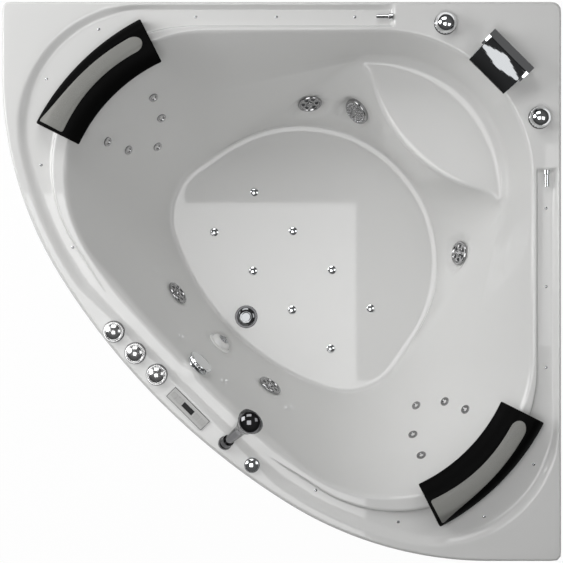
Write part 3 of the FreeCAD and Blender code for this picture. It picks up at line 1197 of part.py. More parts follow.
# Ring main behind the basin with a branch to every jet
main_form = between(size("main_level"))
main_form["corner_u"] = FLOOR["corner_u"]
main_form["corner"] = size("main_corner") - size("main_offset")
main_side = basin_angles(main_form, size("main_offset"))[0]
main_centre = at(main_form["corner_u"], 0)
loop = basin_outline(main_form, size("main_offset"))[1:]
start_arc = arc(main_centre, size("main_corner"), 40, main_side)
end_arc = arc(main_centre, size("main_corner"), -main_side, -size("main_stop"))
main_path = Part.Wire([side.toShape() for side in [start_arc] + loop + [end_arc]])
main_path.translate(at(0, 0, size("main_level")))
water_parts = [swept("ring_main", main_path, size("main_pipe"))]
water_bores = []


def branch_to_main(name, spot, cup, cup_depth, shank, shank_depth, radius):
    """A cup that screws onto a jet's shank behind the wall, and its branch to the ring main."""
    low = spot.multiply(upright(0, 0, -size(cup_depth)))
    water_parts.append(rod(name + "_cup", cup, cup_depth + " - shell_wall - cup_gap", low))
    near = main_path.distToShape(Part.Vertex(low.Base))[1][0][0]
    heart = spot.multVec(at(0, 0, 4 - size(cup_depth)))
    water_parts.append(spoke(name + "_branch", heart, near, radius))
    bore_low = spot.multiply(upright(0, 0, -size(shank_depth) - size("seat_gap")))
    water_bores.append(rod(name + "_bore", shank + " + seat_gap", shank_depth + " + 1", bore_low))


for place, spot in jet_spots.items():
    branch_to_main("jet_" + place, spot, "jet_cup", "jet_cup_depth", "jet_shank", "jet_shank_depth",
                   "branch")
for number, spot in enumerate(back_spots):
    branch_to_main("back_%d" % number, spot, "back_cup", "back_cup_depth", "back_shank",
                   "back_shank_depth", "small_branch")
main_tail = main_path.Edges[-1].valueAt(main_path.Edges[-1].LastParameter)
feed_top = port_end + at(0, 0, size("seat_gap"))
water_parts.append(piped("pump_feed", [feed_top, feed_top + at(0, 0, 44), main_tail],
                         size("pump_port_bore"), 14))
water_pipes = cut("water_pipes_cut", fused("water_network", water_parts),
                  together("water_bores", water_bores))
finish(water_pipes, "water_pipes")

# Suction pipe to the pump inlet
suction_axis = suction_spot.Rotation.multVec(UP)
suction_start = suction_spot.Base - suction_axis * (size("suction_depth") + size("seat_gap"))
suction_turn = suction_start - suction_axis * 62
inlet_v = volute_v + size("volute_long") + size("pump_port_long") + size("seat_gap")
suction_pipe = piped("suction_pipe_run", [
    suction_start, suction_turn, at(size("pump_u"), suction_turn.y, size("pump_axis_z")),
    at(size("pump_u"), inlet_v, size("pump_axis_z"))], size("suction_pipe"), size("pipe_bend"))
finish(suction_pipe, "suction_pipe")

# Air blower on the left shelf, control box on the right one
shelf_z = frame_top + size("shelf_thick")
blower_spot = upright(size("blower_u"), size("shelf_v"), shelf_z)
blower_drum = turned("blower_drum", [
    ("0", "0"), ("blower_radius", "0"), ("blower_radius", "blower_tall"), ("blower_boss", "blower_tall"),
    ("blower_boss", "blower_tall + blower_boss_tall"), ("blower_shaft + run_fit",
                                                        "blower_tall + blower_boss_tall"),
    ("blower_shaft + run_fit", "blower_tall - blower_wall"), ("blower_radius - blower_wall",
                                                              "blower_tall - blower_wall"),
    ("blower_radius - blower_wall", "blower_wall"), ("0", "blower_wall")])
blower_drum.Placement = blower_spot
blow_start = at(size("blower_u"), size("shelf_v") - size("blower_radius") + 3, pipe_z)
blow_end = at(size("blower_u"), blower_side, pipe_z)
blower_block = fused("blower_block",
                     [blower_drum, spoke("blower_port", blow_start, blow_end, "air_pipe + 2")])
blower_bore = spoke("blower_port_bore", blow_start + at(0, 12, 0), blow_end - at(0, 1, 0), "air_pipe - 2")
finish(cut("blower_housing_cut", blower_block, blower_bore), "blower_housing")
fan_top = "blower_tall + blower_boss_tall - 3"
fan_disc = turned("fan_disc", [
    ("0", "blower_tall - fan_tall - 24"), ("fan_radius", "blower_tall - fan_tall - 24"),
    ("fan_radius", "blower_tall - fan_tall - 24 + fan_plate"),
    ("blower_shaft", "blower_tall - fan_tall - 24 + fan_plate"),
    ("blower_shaft", fan_top), ("0", fan_top)])
fan_z = value("blower_tall - fan_tall - 24 + fan_plate") - 1
blades = [slab("blade_%d" % number, "fan_radius - 30", "fan_blade", "fan_tall",
               upright(0, 0, fan_z, number * 45).multiply(upright((size("fan_radius") + 26) / 2.0, 0, 0)))
          for number in range(8)]
finish(fused("blower_fan_block", [fan_disc] + blades), "blower_fan", blower_spot)
box_spot = upright(shelf_middle, -size("shelf_v"), shelf_z)
gland_z = shelf_z + size("box_tall") / 2.0
gland_end = at(shelf_middle - size("box_long") / 2.0 - size("box_gland_long"), -size("shelf_v"), gland_z)
control_box = fused("control_box_block", [
    slab("box_body", "box_long", "box_wide", "box_tall", box_spot),
    slab("box_cover", "box_long + 6", "box_wide + 6", "box_lid",
         upright(shelf_middle, -size("shelf_v"), shelf_z + size("box_tall"))),
    spoke("box_gland", at(shelf_middle, -size("shelf_v"), gland_z), gland_end, "box_gland")])
finish(control_box, "control_box")

# Shell with every hole, then the groups of like pieces
acrylic_shell = cut("acrylic_shell_cut", shell_open, together("shell_holes", shell_tools))
finish(acrylic_shell, "acrylic_shell")
doc.recompute()
copies("jet_bodies", (jet_body, list(jet_spots.values())))
copies("back_jets", (back_jet, back_spots))
copies("air_injectors", (injector, injector_spots))
copies("deck_valves", (tap_valve, tap_spots), (knob_valve, knob_spots))
copies("channel_outlets", (outlet, outlet_spots))
copies("rim_lights", (rim_light, light_spots))
copies("foot_pads", (foot_pad, foot_spots))
copies("foot_studs", (foot_stud, foot_spots), (foot_nut, foot_spots))
copies("screws", (apron_screw, screw_spots), (suction_screw, [suction_spot]))
doc.recompute()

# Check and write every sub-part
for item in doc.Objects:
    if "Invalid" in item.State or "Error" in item.State:
        raise RuntimeError("%s did not build: %s" % (item.Label, item.State))
os.makedirs("parts", exist_ok=True)
for label, item in sorted(nodes.items()):
    shape = item.Shape
    if shape.isNull() or not shape.isValid() or not shape.Solids:
        raise RuntimeError("%s has no valid solid" % label)
    shape.exportStep("parts/%s.step" % label)
    place = item.Placement
    axis = place.Rotation.multVec(UP)
    print("node %s solids %d at %.4f %.4f %.4f axis %.6f %.6f %.6f volume %.0f" % (
        label, len(shape.Solids), place.Base.x, place.Base.y, place.Base.z, axis.x, axis.y, axis.z,
        shape.Volume))
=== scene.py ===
# %% [markdown]
# # A corner jetted bath, seen from above
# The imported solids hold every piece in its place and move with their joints. This script dresses
# them: it works out smooth surfaces with numpy, gives each a finish, and lets each ride the body
# of the solid that it stands for. Lengths are written in millimetres and turned into metres once,
# where a mesh is made.

import json
import math

import bpy
import mathutils
import numpy as np
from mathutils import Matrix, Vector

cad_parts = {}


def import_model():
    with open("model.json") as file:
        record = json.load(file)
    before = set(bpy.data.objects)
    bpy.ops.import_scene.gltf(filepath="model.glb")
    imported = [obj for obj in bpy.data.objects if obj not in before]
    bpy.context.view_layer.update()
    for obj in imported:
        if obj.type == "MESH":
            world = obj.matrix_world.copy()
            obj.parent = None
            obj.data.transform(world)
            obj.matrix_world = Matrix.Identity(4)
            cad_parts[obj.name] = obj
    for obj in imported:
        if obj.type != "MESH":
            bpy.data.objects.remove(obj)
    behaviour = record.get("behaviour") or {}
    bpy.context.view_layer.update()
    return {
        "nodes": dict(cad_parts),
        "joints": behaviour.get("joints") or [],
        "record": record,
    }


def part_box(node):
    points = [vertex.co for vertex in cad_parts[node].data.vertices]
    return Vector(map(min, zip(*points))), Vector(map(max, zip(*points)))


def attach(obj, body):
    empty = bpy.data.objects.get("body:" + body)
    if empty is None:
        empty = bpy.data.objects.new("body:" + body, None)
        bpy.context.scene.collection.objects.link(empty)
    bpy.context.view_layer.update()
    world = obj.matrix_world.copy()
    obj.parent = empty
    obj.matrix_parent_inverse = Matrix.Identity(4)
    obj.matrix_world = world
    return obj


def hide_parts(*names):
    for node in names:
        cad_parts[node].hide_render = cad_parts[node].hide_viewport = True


MM = 0.001
ROOT2 = math.sqrt(2.0)
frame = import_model()
joints = {entry["name"]: entry for entry in frame["joints"]}

# %% [markdown]
# ## Finishes
# A bath is mostly two finishes: cast acrylic, which is white with a clear gloss on top, and
# chrome, which is a mirror with a little haze. A Principled shader gives both. A fine noise on
# Object coordinates moves the roughness, and where a surface is grained the same noise lifts it.
# One function makes them all, so the differences between finishes read as numbers.


# %% Finishes for every slot
def finish(name, colour, metal=0.0, rough=0.3, grain=0.0, size=60.0, coat=0.0, gloss=0.5):
    """A Principled finish: roughness is rough times a noise from 0.8 to 1.2, grain is its bump strength."""
    material = bpy.data.materials.new(name)
    material.use_nodes = True
    nodes, links = material.node_tree.nodes, material.node_tree.links
    shader = nodes["Principled BSDF"]
    shader.inputs["Base Color"].default_value = (*colour, 1.0)
    shader.inputs["Metallic"].default_value = metal
    shader.inputs["Specular IOR Level"].default_value = gloss
    shader.inputs["Coat Weight"].default_value = coat
    shader.inputs["Coat Roughness"].default_value = 0.03
    place = nodes.new("ShaderNodeTexCoord")
    noise = nodes.new("ShaderNodeTexNoise")
    noise.inputs["Scale"].default_value = size
    noise.inputs["Detail"].default_value = 4.0
    links.new(place.outputs["Object"], noise.inputs["Vector"])
    span = nodes.new("ShaderNodeMapRange")
    span.inputs["To Min"].default_value = rough * 0.8
    span.inputs["To Max"].default_value = rough * 1.2
    links.new(noise.outputs["Fac"], span.inputs["Value"])
    links.new(span.outputs["Result"], shader.inputs["Roughness"])
    if grain:
        bump = nodes.new("ShaderNodeBump")
        bump.inputs["Strength"].default_value = grain
        bump.inputs["Distance"].default_value = MM
        links.new(noise.outputs["Fac"], bump.inputs["Height"])
        links.new(bump.outputs["Normal"], shader.inputs["Normal"])
    return material


FINISH = {
    "acrylic": finish("cast_acrylic", (0.74, 0.74, 0.73), rough=0.035, size=9.0),
    "chrome": finish("polished_chrome", (0.82, 0.83, 0.84), metal=1.0, rough=0.05, size=40.0),
    # Chrome darkened for the handset: painted dark reflection.
    "handset_painted_dark_reflection": finish("chrome_painted_dark_reflection_handset", (0.13, 0.13, 0.135), metal=1.0, rough=0.07, size=40.0),
    # Chrome darkened for the spout hood and the plug: painted dark reflection.
    "hood_painted_dark_reflection": finish("chrome_painted_dark_reflection_hood", (0.2, 0.205, 0.21), metal=1.0, rough=0.06, size=40.0),
    # Chrome darkened almost to black for the rings: painted dark reflection.
    "ring_painted_dark_reflection": finish("chrome_painted_dark_reflection_ring", (0.07, 0.07, 0.073), metal=1.0, rough=0.12, size=40.0),
    "knob_chrome": finish("brushed_chrome", (0.84, 0.84, 0.84), metal=1.0, rough=0.2, size=40.0),
    # Chrome darkened to grey for jets and suction cover: painted shade and dark reflection.
    "jet_painted_shade": finish("chrome_painted_shade_jet", (0.42, 0.42, 0.425), metal=1.0, rough=0.09, size=40.0),
    "key_grey": finish("panel_key_grey", (0.5, 0.5, 0.49), rough=0.5, gloss=0.3),
    "satin_plastic": finish("satin_grey_plastic", (0.45, 0.46, 0.47), rough=0.32),
    "white_plastic": finish("gloss_white_plastic", (0.8, 0.8, 0.79), rough=0.12, coat=0.4),
    "pipe_plastic": finish("pipe_grey_plastic", (0.56, 0.57, 0.58), rough=0.42, grain=0.04),
    # Dark plastic, also used for pieces of painted shade: the jet port discs and the line round the panel.
    "dark_plastic": finish("dark_plastic_and_painted_shade", (0.035, 0.036, 0.04), rough=0.5, grain=0.1, size=500.0),
    "pillow": finish("black_pillow_skin", (0.003, 0.003, 0.003), rough=0.45, gloss=0.03),
    "pillow_inset": finish("grained_grey_skin", (0.235, 0.235, 0.22), rough=0.5, grain=1.0, size=420.0),
    "panel_grey": finish("panel_grey", (0.56, 0.56, 0.55), rough=0.55, gloss=0.3),
    "display_glass": finish("display_black", (0.003, 0.003, 0.004), rough=0.3, gloss=0.15),
    "lens_glass": finish("faceted_lens", (0.5, 0.51, 0.52), metal=1.0, rough=0.08, grain=1.0, size=200.0),
    "frame_steel": finish("zinc_painted_tube", (0.4, 0.42, 0.44), metal=0.4, rough=0.4, grain=0.05),
    "bright_steel": finish("bright_steel", (0.6, 0.6, 0.61), metal=1.0, rough=0.25),
    "motor_paint": finish("motor_paint", (0.05, 0.08, 0.14), rough=0.38, grain=0.05, size=300.0),
    "foot_rubber": finish("foot_rubber", (0.02, 0.02, 0.02), rough=0.7, grain=0.1, size=400.0),
    "block_wood": finish("block_timber", (0.36, 0.24, 0.13), rough=0.6, grain=0.2, size=80.0),
}
OWN_LOOK = {"panel_key_" + key: "key_grey" for key in ("pump", "air", "light", "heater")}
# These rings get darkened chrome: painted dark reflection.
OWN_LOOK.update({ring: "ring_painted_dark_reflection" for ring in ("deck_valves", "drain_flange", "shower_socket")})
# The back jets get darkened chrome: painted shade and dark reflection.
OWN_LOOK["back_jets"] = "jet_painted_shade"
for part in frame["record"]["subparts"]:
    solid = frame["nodes"][part["node"]]
    solid.data.materials.clear()
    solid.data.materials.append(FINISH[OWN_LOOK.get(part["node"], part["material_slot"])])
print("finishes", len(FINISH))

# %% [markdown]
# ## Surfaces from arrays
# Every new piece is a grid of points: rows along a profile, columns round or across it. A sharp
# profile looks like cut paper, so its corners are rounded by a running mean along its length.
# The mean of a straight side has a closed form, so no sampling is needed and corners with no
# length between them are no trouble.


# %% Grids, rounded profiles and turned pieces
def risen(x):
    """The integral of a ramp that climbs from 0 to 1 while x goes from 0 to 1 and stays there."""
    return np.where(x < 0, 0.0, np.where(x < 1, x * x / 2.0, x - 0.5))


def eased(corners, spots, width):
    """A polyline averaged from spot - width to spot + width: each corner becomes a parabola."""
    sides = np.diff(corners, axis=-2)
    long = np.maximum(np.linalg.norm(sides, axis=-1), 1e-6)[..., None, :]
    start = np.cumsum(long, axis=-1) - long
    spots, width = spots[..., None], np.asarray(width)[..., None]
    above, below = risen((spots + width - start) / long), risen((spots - width - start) / long)
    share = (above - below) * long / (2.0 * width)
    return corners[..., :1, :] + share @ sides


def rounded(corners, width, extra=24):
    """An open profile with rounded corners, sampled at every corner and evenly between its ends."""
    corners = np.asarray(corners, float)
    marks = np.concatenate([[0.0], np.cumsum(np.linalg.norm(np.diff(corners, axis=0), axis=1))])
    near = marks[1:-1, None] + width * np.linspace(-1.0, 1.0, 5)
    even = np.linspace(0.0, marks[-1], extra)
    spots = np.unique(np.clip(np.concatenate([near.ravel(), even]), 0.0, marks[-1]))
    room = np.minimum(spots, marks[-1] - spots)
    return eased(corners, spots, np.clip(room, 1e-4, width))


def bowed(start, end, rise, count=14):
    """Points of an arc from start to end whose middle stands rise to the right of the chord."""
    start, end = np.asarray(start, float), np.asarray(end, float)
    chord = end - start
    long = np.linalg.norm(chord)
    half = 2.0 * math.atan2(2.0 * rise, long)
    angle = np.linspace(-half, half, count)
    radius = long / (2.0 * math.sin(half))
    across = np.array([chord[1], -chord[0]]) / long
    reach = radius * np.sin(angle)[:, None] * chord / long
    lift = radius * (np.cos(angle) - math.cos(half))[:, None] * across
    return list(map(tuple, (start + end) / 2.0 + reach + lift))


def wrapped(points, start="pole", end="pole", inward=False):
    """Quads between the rows of a grid closed round its columns; each end is a pole, a flat cap or open."""
    rows, columns = points.shape[:2]
    index = np.arange(rows * columns).reshape(rows, columns)
    near, far = index[:-1], index[1:]
    faces = np.stack([near, np.roll(near, -1, 1), np.roll(far, -1, 1), far], -1).reshape(-1, 4).tolist()
    spots = points.reshape(-1, 3)
    for edge, kind in ((index[0][::-1], start), (index[-1], end)):
        if kind == "cap":
            faces.append(edge.tolist())
        if kind == "pole":
            tip = np.full(columns, len(spots))
            spots = np.vstack([spots, spots[edge].mean(0)])
            faces += np.stack([edge, np.roll(edge, -1), tip], -1).tolist()
    if inward:
        faces = [face[::-1] for face in faces]
    return spots, faces


def turned(corners, width=0.8, sides=72, extra=24, flutes=0, flute=0.0, band=(0.0, 0.0)):
    """A rounded (radius, height) profile carried round Z; cosine waves flute it in the band of heights."""
    profile = rounded(corners, width, extra)
    angle = np.linspace(0.0, 2.0 * math.pi, sides, endpoint=False)
    inside = (profile[:, 1] > band[0]) & (profile[:, 1] < band[1])
    radius = profile[:, :1] - flute * inside[:, None] * (0.5 + 0.5 * np.cos(flutes * angle))
    height = np.broadcast_to(profile[:, 1:], radius.shape)
    return wrapped(np.stack([radius * np.cos(angle), radius * np.sin(angle), height], -1))


def axes(along, side=None):
    """Three rows: a side direction square to along, the third direction, and along itself."""
    along = np.asarray(along, float) / np.linalg.norm(along)
    if side is None:
        side = np.cross((0.0, 0.0, 1.0), along) if abs(along[2]) < 0.999 else (1.0, 0.0, 0.0)
    side = np.asarray(side, float) - along * np.dot(side, along)
    side = side / np.linalg.norm(side)
    return np.stack([side, np.cross(along, side), along])


def placed(shape, spot, along=(0.0, 0.0, 1.0), side=None):
    """A shape turned so that its Z lies along a direction, then moved to a spot."""
    points, faces = shape
    return points @ axes(along, side) + np.asarray(spot, float), faces


def together(shapes):
    """Several shapes as one: each one's faces count on from the points before it."""
    counts = np.cumsum([0] + [len(points) for points, faces in shapes])
    faces = []
    for (points, sides), base in zip(shapes, counts):
        faces += [[corner + base for corner in face] for face in sides]
    return np.vstack([points for points, sides in shapes]), faces


def piece(name, shape, slot, body="tub", stands_for=(), crease=38.0, look=None):
    """A mesh object with its slot's finish or its own look, on its body, in place of its solids."""
    points, faces = shape
    mesh = bpy.data.meshes.new(name)
    mesh.from_pydata((points * MM).tolist(), [], faces)
    mesh.polygons.foreach_set("use_smooth", np.ones(len(mesh.polygons), bool))
    mesh.set_sharp_from_angle(angle=math.radians(crease))
    mesh.materials.append(FINISH[look or slot])
    made = bpy.data.objects.new(name, mesh)
    bpy.context.scene.collection.objects.link(made)
    if stands_for:
        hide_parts(*stands_for)
    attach(made, body)
    print(name, len(faces), "faces")
    return made


def world(points):
    """From the bath's own diagonal (u to the wall corner, v to the upper left end) to the room's X and Y."""
    points = np.asarray(points, float)
    u, v = points[..., 0], points[..., 1]
    return np.concatenate([((u - v) / ROOT2)[..., None], ((u + v) / ROOT2)[..., None], points[..., 2:]], -1)


# %% [markdown]
# ## The acrylic shell
# A real shell is one sheet of acrylic, sucked warm over a mould, so every edge is soft and the
# sheet runs without a break from the floor up the wall, over the seat, across the deck and down
# the rim. Modelling it with booleans gives hard edges. Here each column of the grid starts in the
# middle of the floor and follows that whole way: it meets the floor outline, the seat outline and
# the opening at the same share of their length, as the solid's ruled walls do.

# %% Outlines of floor, seat and opening
RIM_Z, SEAT_Z, FLOOR_Z = 620.0, 420.0, 170.0
HALF = 765.0
END_FLAT, FRONT_R, FRONT_HALF = 195.0, 1950.0, 440.0
WALL_LEDGE, FRONT_LEDGE, OPEN_LOBE, OPEN_BOW, OPEN_CORNER = 81.0, 126.0, 390.0, 18.0, 408.0
INNER_STRIP, FRONT_STRIP, STRIP_LOBE = 15.0, 12.0, 385.0
SEAT_LEAN, SEAT_NOSE_U, SEAT_ROUND = 45.0, 518.0, 400.0

end_spot = np.array([-END_FLAT / ROOT2, ROOT2 * HALF - END_FLAT / ROOT2])
front_angle = math.asin(FRONT_HALF / FRONT_R)
side_r = (end_spot[1] - FRONT_HALF) / (1.0 / ROOT2 - math.sin(front_angle))
side_centre = end_spot + side_r * np.array([1.0, -1.0]) / ROOT2
front_u = side_centre[0] - side_r * math.cos(front_angle) - FRONT_R * (1.0 - math.cos(front_angle))
wall_line = HALF - WALL_LEDGE
lobe_u = front_u + FRONT_LEDGE + OPEN_BOW + OPEN_LOBE
OPENING = dict(lobe_u=lobe_u, lobe_v=ROOT2 * (wall_line - OPEN_LOBE) - lobe_u, lobe=OPEN_LOBE, bow=OPEN_BOW,
               corner_u=ROOT2 * (wall_line - OPEN_CORNER), corner=OPEN_CORNER)
FLOOR = dict(lobe_u=30.0, lobe_v=240.0, lobe=186.0, bow=54.0, corner_u=83.0, corner=410.0)
strip_u = front_u + FRONT_LEDGE - FRONT_STRIP + OPEN_BOW + STRIP_LOBE
STRIP = dict(OPENING, lobe=STRIP_LOBE, lobe_u=strip_u,
             lobe_v=ROOT2 * (wall_line + INNER_STRIP - STRIP_LOBE) - strip_u)
climb = (SEAT_Z - FLOOR_Z) / (RIM_Z - FLOOR_Z)
SEAT = {key: FLOOR[key] + climb * (OPENING[key] - FLOOR[key]) for key in FLOOR}
SEAT.update(corner_u=OPENING["corner_u"], corner=OPENING["corner"] - SEAT_LEAN)
COLUMNS = (46, 14, 40, 112, 60)


def angles(form):
    """The turn of the straight side's normal, and the front arc's centre, radius and half turn."""
    apart = np.array([form["lobe_u"] - form["corner_u"], form["lobe_v"]])
    lean = math.acos((form["corner"] - form["lobe"]) / np.linalg.norm(apart))
    side = math.atan2(apart[1], apart[0]) - lean
    beyond = form["bow"] / 2.0 + form["lobe_v"] ** 2 / (2.0 * form["bow"])
    centre = form["lobe_u"] - form["bow"] + beyond
    return side, centre, beyond + form["lobe"], math.atan2(form["lobe_v"], centre - form["lobe_u"])


def ring(centre, radius, turn):
    """Points of a circle at the given turns."""
    return np.asarray(centre, float) + radius * np.stack([np.cos(turn), np.sin(turn)], -1)


def half_outline(form, tip):
    """Half an outline from wall corner to front: corner arc in two parts, straight side, lobe, front arc."""
    shares = [np.linspace(0.0, 1.0, count, endpoint=False) for count in COLUMNS[:-1]]
    shares.append(np.linspace(0.0, 1.0, COLUMNS[-1]))
    side, centre, radius, front = angles(form)
    corner = np.concatenate([tip * shares[0], tip + (side - tip) * shares[1]])
    lobe = side + (math.pi - front - side) * shares[3]
    middle = math.pi - front + front * shares[4]
    lobe_centre = (form["lobe_u"], form["lobe_v"])
    start = ring((form["corner_u"], 0.0), form["corner"], np.array([side]))
    end = ring(lobe_centre, form["lobe"], np.array([side]))
    points = np.vstack([
        ring((form["corner_u"], 0.0), form["corner"], corner), start + (end - start) * shares[2][:, None],
        ring(lobe_centre, form["lobe"], lobe), ring((centre, 0.0), radius, middle)])
    turn = np.concatenate([corner, np.full(COLUMNS[2], side), lobe, middle])
    return points, np.stack([np.cos(turn), np.sin(turn)], -1)


def seat_tip():
    """Where the seat's rounded front edge meets the corner arc behind it, as two crossing circles."""
    apart = SEAT_NOSE_U + SEAT_ROUND - SEAT["corner_u"]
    along = (SEAT["corner"] ** 2 - SEAT_ROUND ** 2 + apart ** 2) / (2.0 * apart)
    return SEAT["corner_u"] + along, math.sqrt(SEAT["corner"] ** 2 - along ** 2)


tip_u, tip_v = seat_tip()
seat_turn = math.atan2(tip_v, tip_u - SEAT["corner_u"])
floor_half = half_outline(FLOOR, math.atan2(tip_v, tip_u - FLOOR["corner_u"]))[0]
seat_half = half_outline(SEAT, seat_turn)[0]
open_half, open_way = half_outline(OPENING, seat_turn * angles(OPENING)[0] / angles(SEAT)[0])
nose_turn = math.asin(tip_v / SEAT_ROUND) * np.linspace(0.0, 1.0, COLUMNS[0], endpoint=False)
front_half = seat_half.copy()
front_half[:COLUMNS[0]] = ring((SEAT_NOSE_U + SEAT_ROUND, 0.0), SEAT_ROUND, math.pi - nose_turn)
TIP_SOFT = 12
step_in = front_half - seat_half
both_ways = np.concatenate([step_in[TIP_SOFT:0:-1] * (1.0, -1.0), step_in])
padded = np.concatenate([both_ways, np.zeros((TIP_SOFT, 2))])
window = np.full(2 * TIP_SOFT + 1, 1.0 / (2 * TIP_SOFT + 1))
front_half = seat_half + np.stack([np.convolve(padded[:, side], window, "valid") for side in (0, 1)], -1)
print("columns in a half", len(open_half), "seat tip", round(tip_u), round(tip_v))

# %% [markdown]
# ## Deck, ledge and rim
# Outside the opening a narrow strip stays at rim height and grows wide under the headrests. Past
# it a shallow ledge runs along the front, behind each headrest and on as a water channel along
# the wall. Where a column crosses the ledge's two edges is found by crossing its ray with the
# edges' outlines. The ledge's depth is one number times a soft mask between those edges.


# %% Where the rays cross the ledge and the rim
def crossing(start, way, line):
    """How far along each ray it first crosses a polyline; infinite where it never does."""
    side = np.diff(line, axis=0)[None]
    apart = line[None, :-1] - start[:, None]
    area = way[:, None, 0] * side[..., 1] - way[:, None, 1] * side[..., 0]
    area = np.where(np.abs(area) < 1e-9, 1e-9, area)
    far = (apart[..., 0] * side[..., 1] - apart[..., 1] * side[..., 0]) / area
    share = (apart[..., 0] * way[:, None, 1] - apart[..., 1] * way[:, None, 0]) / area
    good = (share >= -1e-6) & (share <= 1.0 + 1e-6) & (far > 0.0)
    return np.where(good, far, np.inf).min(1)


def soft_step(x):
    """0 below -1, 1 above 1 and a smooth cubic between."""
    share = np.clip((x + 1.0) / 2.0, 0.0, 1.0)
    return share * share * (3.0 - 2.0 * share)


def swept(centre, radius, first, last, count=120):
    """Even points of a circle from one turn to another."""
    return ring(centre, radius, np.linspace(first, last, count))


CORNER_ROUND, END_ROUND = 24.0, 18.0
WALL_STRIP, LEDGE_ROUND, LEDGE_INSET, LEDGE_FRONT, LEDGE_DEPTH = 14.0, 330.0, 38.0, 76.0, 14.0
CHANNEL_MOUTH, BEYOND, PAST_FRONT = 305.0, 500.0, 50.0
wall_end = np.array([0.0, ROOT2 * HALF])
rim_half = np.vstack([
    swept((ROOT2 * (HALF - CORNER_ROUND), 0.0), CORNER_ROUND, -0.3, math.pi / 4, 24),
    swept(wall_end - (0.0, END_ROUND * ROOT2), END_ROUND, math.pi / 4, 3 * math.pi / 4, 24), end_spot[None],
    swept(side_centre, side_r, 3 * math.pi / 4, math.pi - front_angle),
    swept((front_u + FRONT_R, 0.0), FRONT_R, math.pi - front_angle, math.pi + 0.05)])
along, across = np.array([1.0, 1.0]) / ROOT2, np.array([-1.0, 1.0]) / ROOT2
level = HALF - WALL_STRIP - LEDGE_ROUND
reach = side_r - LEDGE_INSET - LEDGE_ROUND
shift = side_centre @ across + math.sqrt(reach ** 2 - (side_centre @ along - level) ** 2)
ledge_centre = along * level + across * shift
leave = math.atan2(*(ledge_centre - side_centre)[::-1])
ledge_front = front_u + LEDGE_FRONT
stop = math.pi - math.acos((side_centre[0] - ledge_front) / (side_r - LEDGE_INSET))
ledge_half = np.vstack([
    (along * (HALF - WALL_STRIP) - across * BEYOND)[None],
    swept(ledge_centre, LEDGE_ROUND, math.pi / 4, leave),
    swept(side_centre, side_r - LEDGE_INSET, leave, stop),
    [(ledge_front, -PAST_FRONT)]])
strip_centre, strip_r, strip_front = angles(STRIP)[1:]
strip_half = np.vstack([
    (along * (wall_line + INNER_STRIP) - across * BEYOND)[None],
    swept((STRIP["lobe_u"], STRIP["lobe_v"]), STRIP["lobe"], math.pi / 4, math.pi - strip_front),
    swept((strip_centre, 0.0), strip_r, math.pi - strip_front, math.pi + 0.02)])
rim_far = crossing(open_half, open_way, rim_half)
ledge_far = np.minimum(crossing(open_half, open_way, ledge_half), rim_far - WALL_STRIP)
LEDGE_NEAREST, LEDGE_LEAST, FRONT_WIDEN = 40.0, 16.0, 18.0
ledge_far = np.clip(ledge_far, LEDGE_NEAREST, None)
# Along the front the inner strip lies a little lower than the rim and its lip is softer.
FRONT_RUN, FRONT_FADE, FRONT_DROP, FRONT_SOFT = 380.0, 80.0, 7.0, 14.0
front = (1.0 - soft_step((open_half[:, 1] - FRONT_RUN) / FRONT_FADE)) * (open_half[:, 0] < 0.0)
strip_far = crossing(open_half, open_way, strip_half) + FRONT_WIDEN * front
strip_far = np.minimum(strip_far, ledge_far - LEDGE_LEAST)
print("deck from", round(rim_far.min()), "to", round(rim_far.max()), "mm wide")


# %% Rows of the shell
def packed(count):
    """Shares from 0 to 1 that crowd together at both ends: half a cosine wave."""
    return (1.0 - np.cos(np.linspace(0.0, math.pi, count))) / 2.0


def raised_to(points, height):
    """Points of the plan with one height for all or a height each."""
    return np.concatenate([points, np.broadcast_to(np.reshape(height, (-1, 1)), (len(points), 1))], 1)


def stage_values(values, stage, share):
    """Values that go from one stage's column of a table to the next one's by a share."""
    low, high = values[:, stage:stage + 1], values[:, stage + 1:stage + 2]
    return low + (high - low) * share


FLOOR_MIDDLE = np.array([40.0, 0.0])
SEAT_ROWS_LEAST, LIP_RUN, DECK_RUN = 44.0, 11.0, 40.0
middle = np.broadcast_to(FLOOR_MIDDLE, floor_half.shape)
way_up = np.stack([
    raised_to(middle, FLOOR_Z), raised_to(floor_half, FLOOR_Z), raised_to(front_half, SEAT_Z),
    raised_to(seat_half, SEAT_Z), raised_to(open_half, RIM_Z - FRONT_DROP * front),
    raised_to(open_half + DECK_RUN * open_way, RIM_Z - FRONT_DROP * front)], 1)
marks = np.cumsum(np.linalg.norm(np.diff(way_up, axis=1), axis=-1), axis=1)
spare = np.maximum(SEAT_ROWS_LEAST - (marks[:, 2] - marks[:, 1]), 0.0) / 2.0
lip_end = LIP_RUN + FRONT_SOFT * front
stops = np.stack([np.zeros(len(marks)), marks[:, 0], marks[:, 1] - spare, marks[:, 2] + spare, marks[:, 3],
                  marks[:, 3] + lip_end], 1)
ROWS = (16, 30, 18, 28, 6)
widths = np.tile((1.0, 10.0, 14.0, 40.0, 12.0, 3.0), (len(marks), 1))
widths[:, 4] += FRONT_SOFT * front
row_spots, row_widths = [], []
for stage, count in enumerate(ROWS):
    share = packed(count)[:-1]
    row_spots.append(stage_values(stops, stage, share))
    row_widths.append(stage_values(widths, stage, share))
basin_rows = eased(way_up, np.concatenate(row_spots, 1)[:, 1:], np.concatenate(row_widths, 1)[:, 1:])

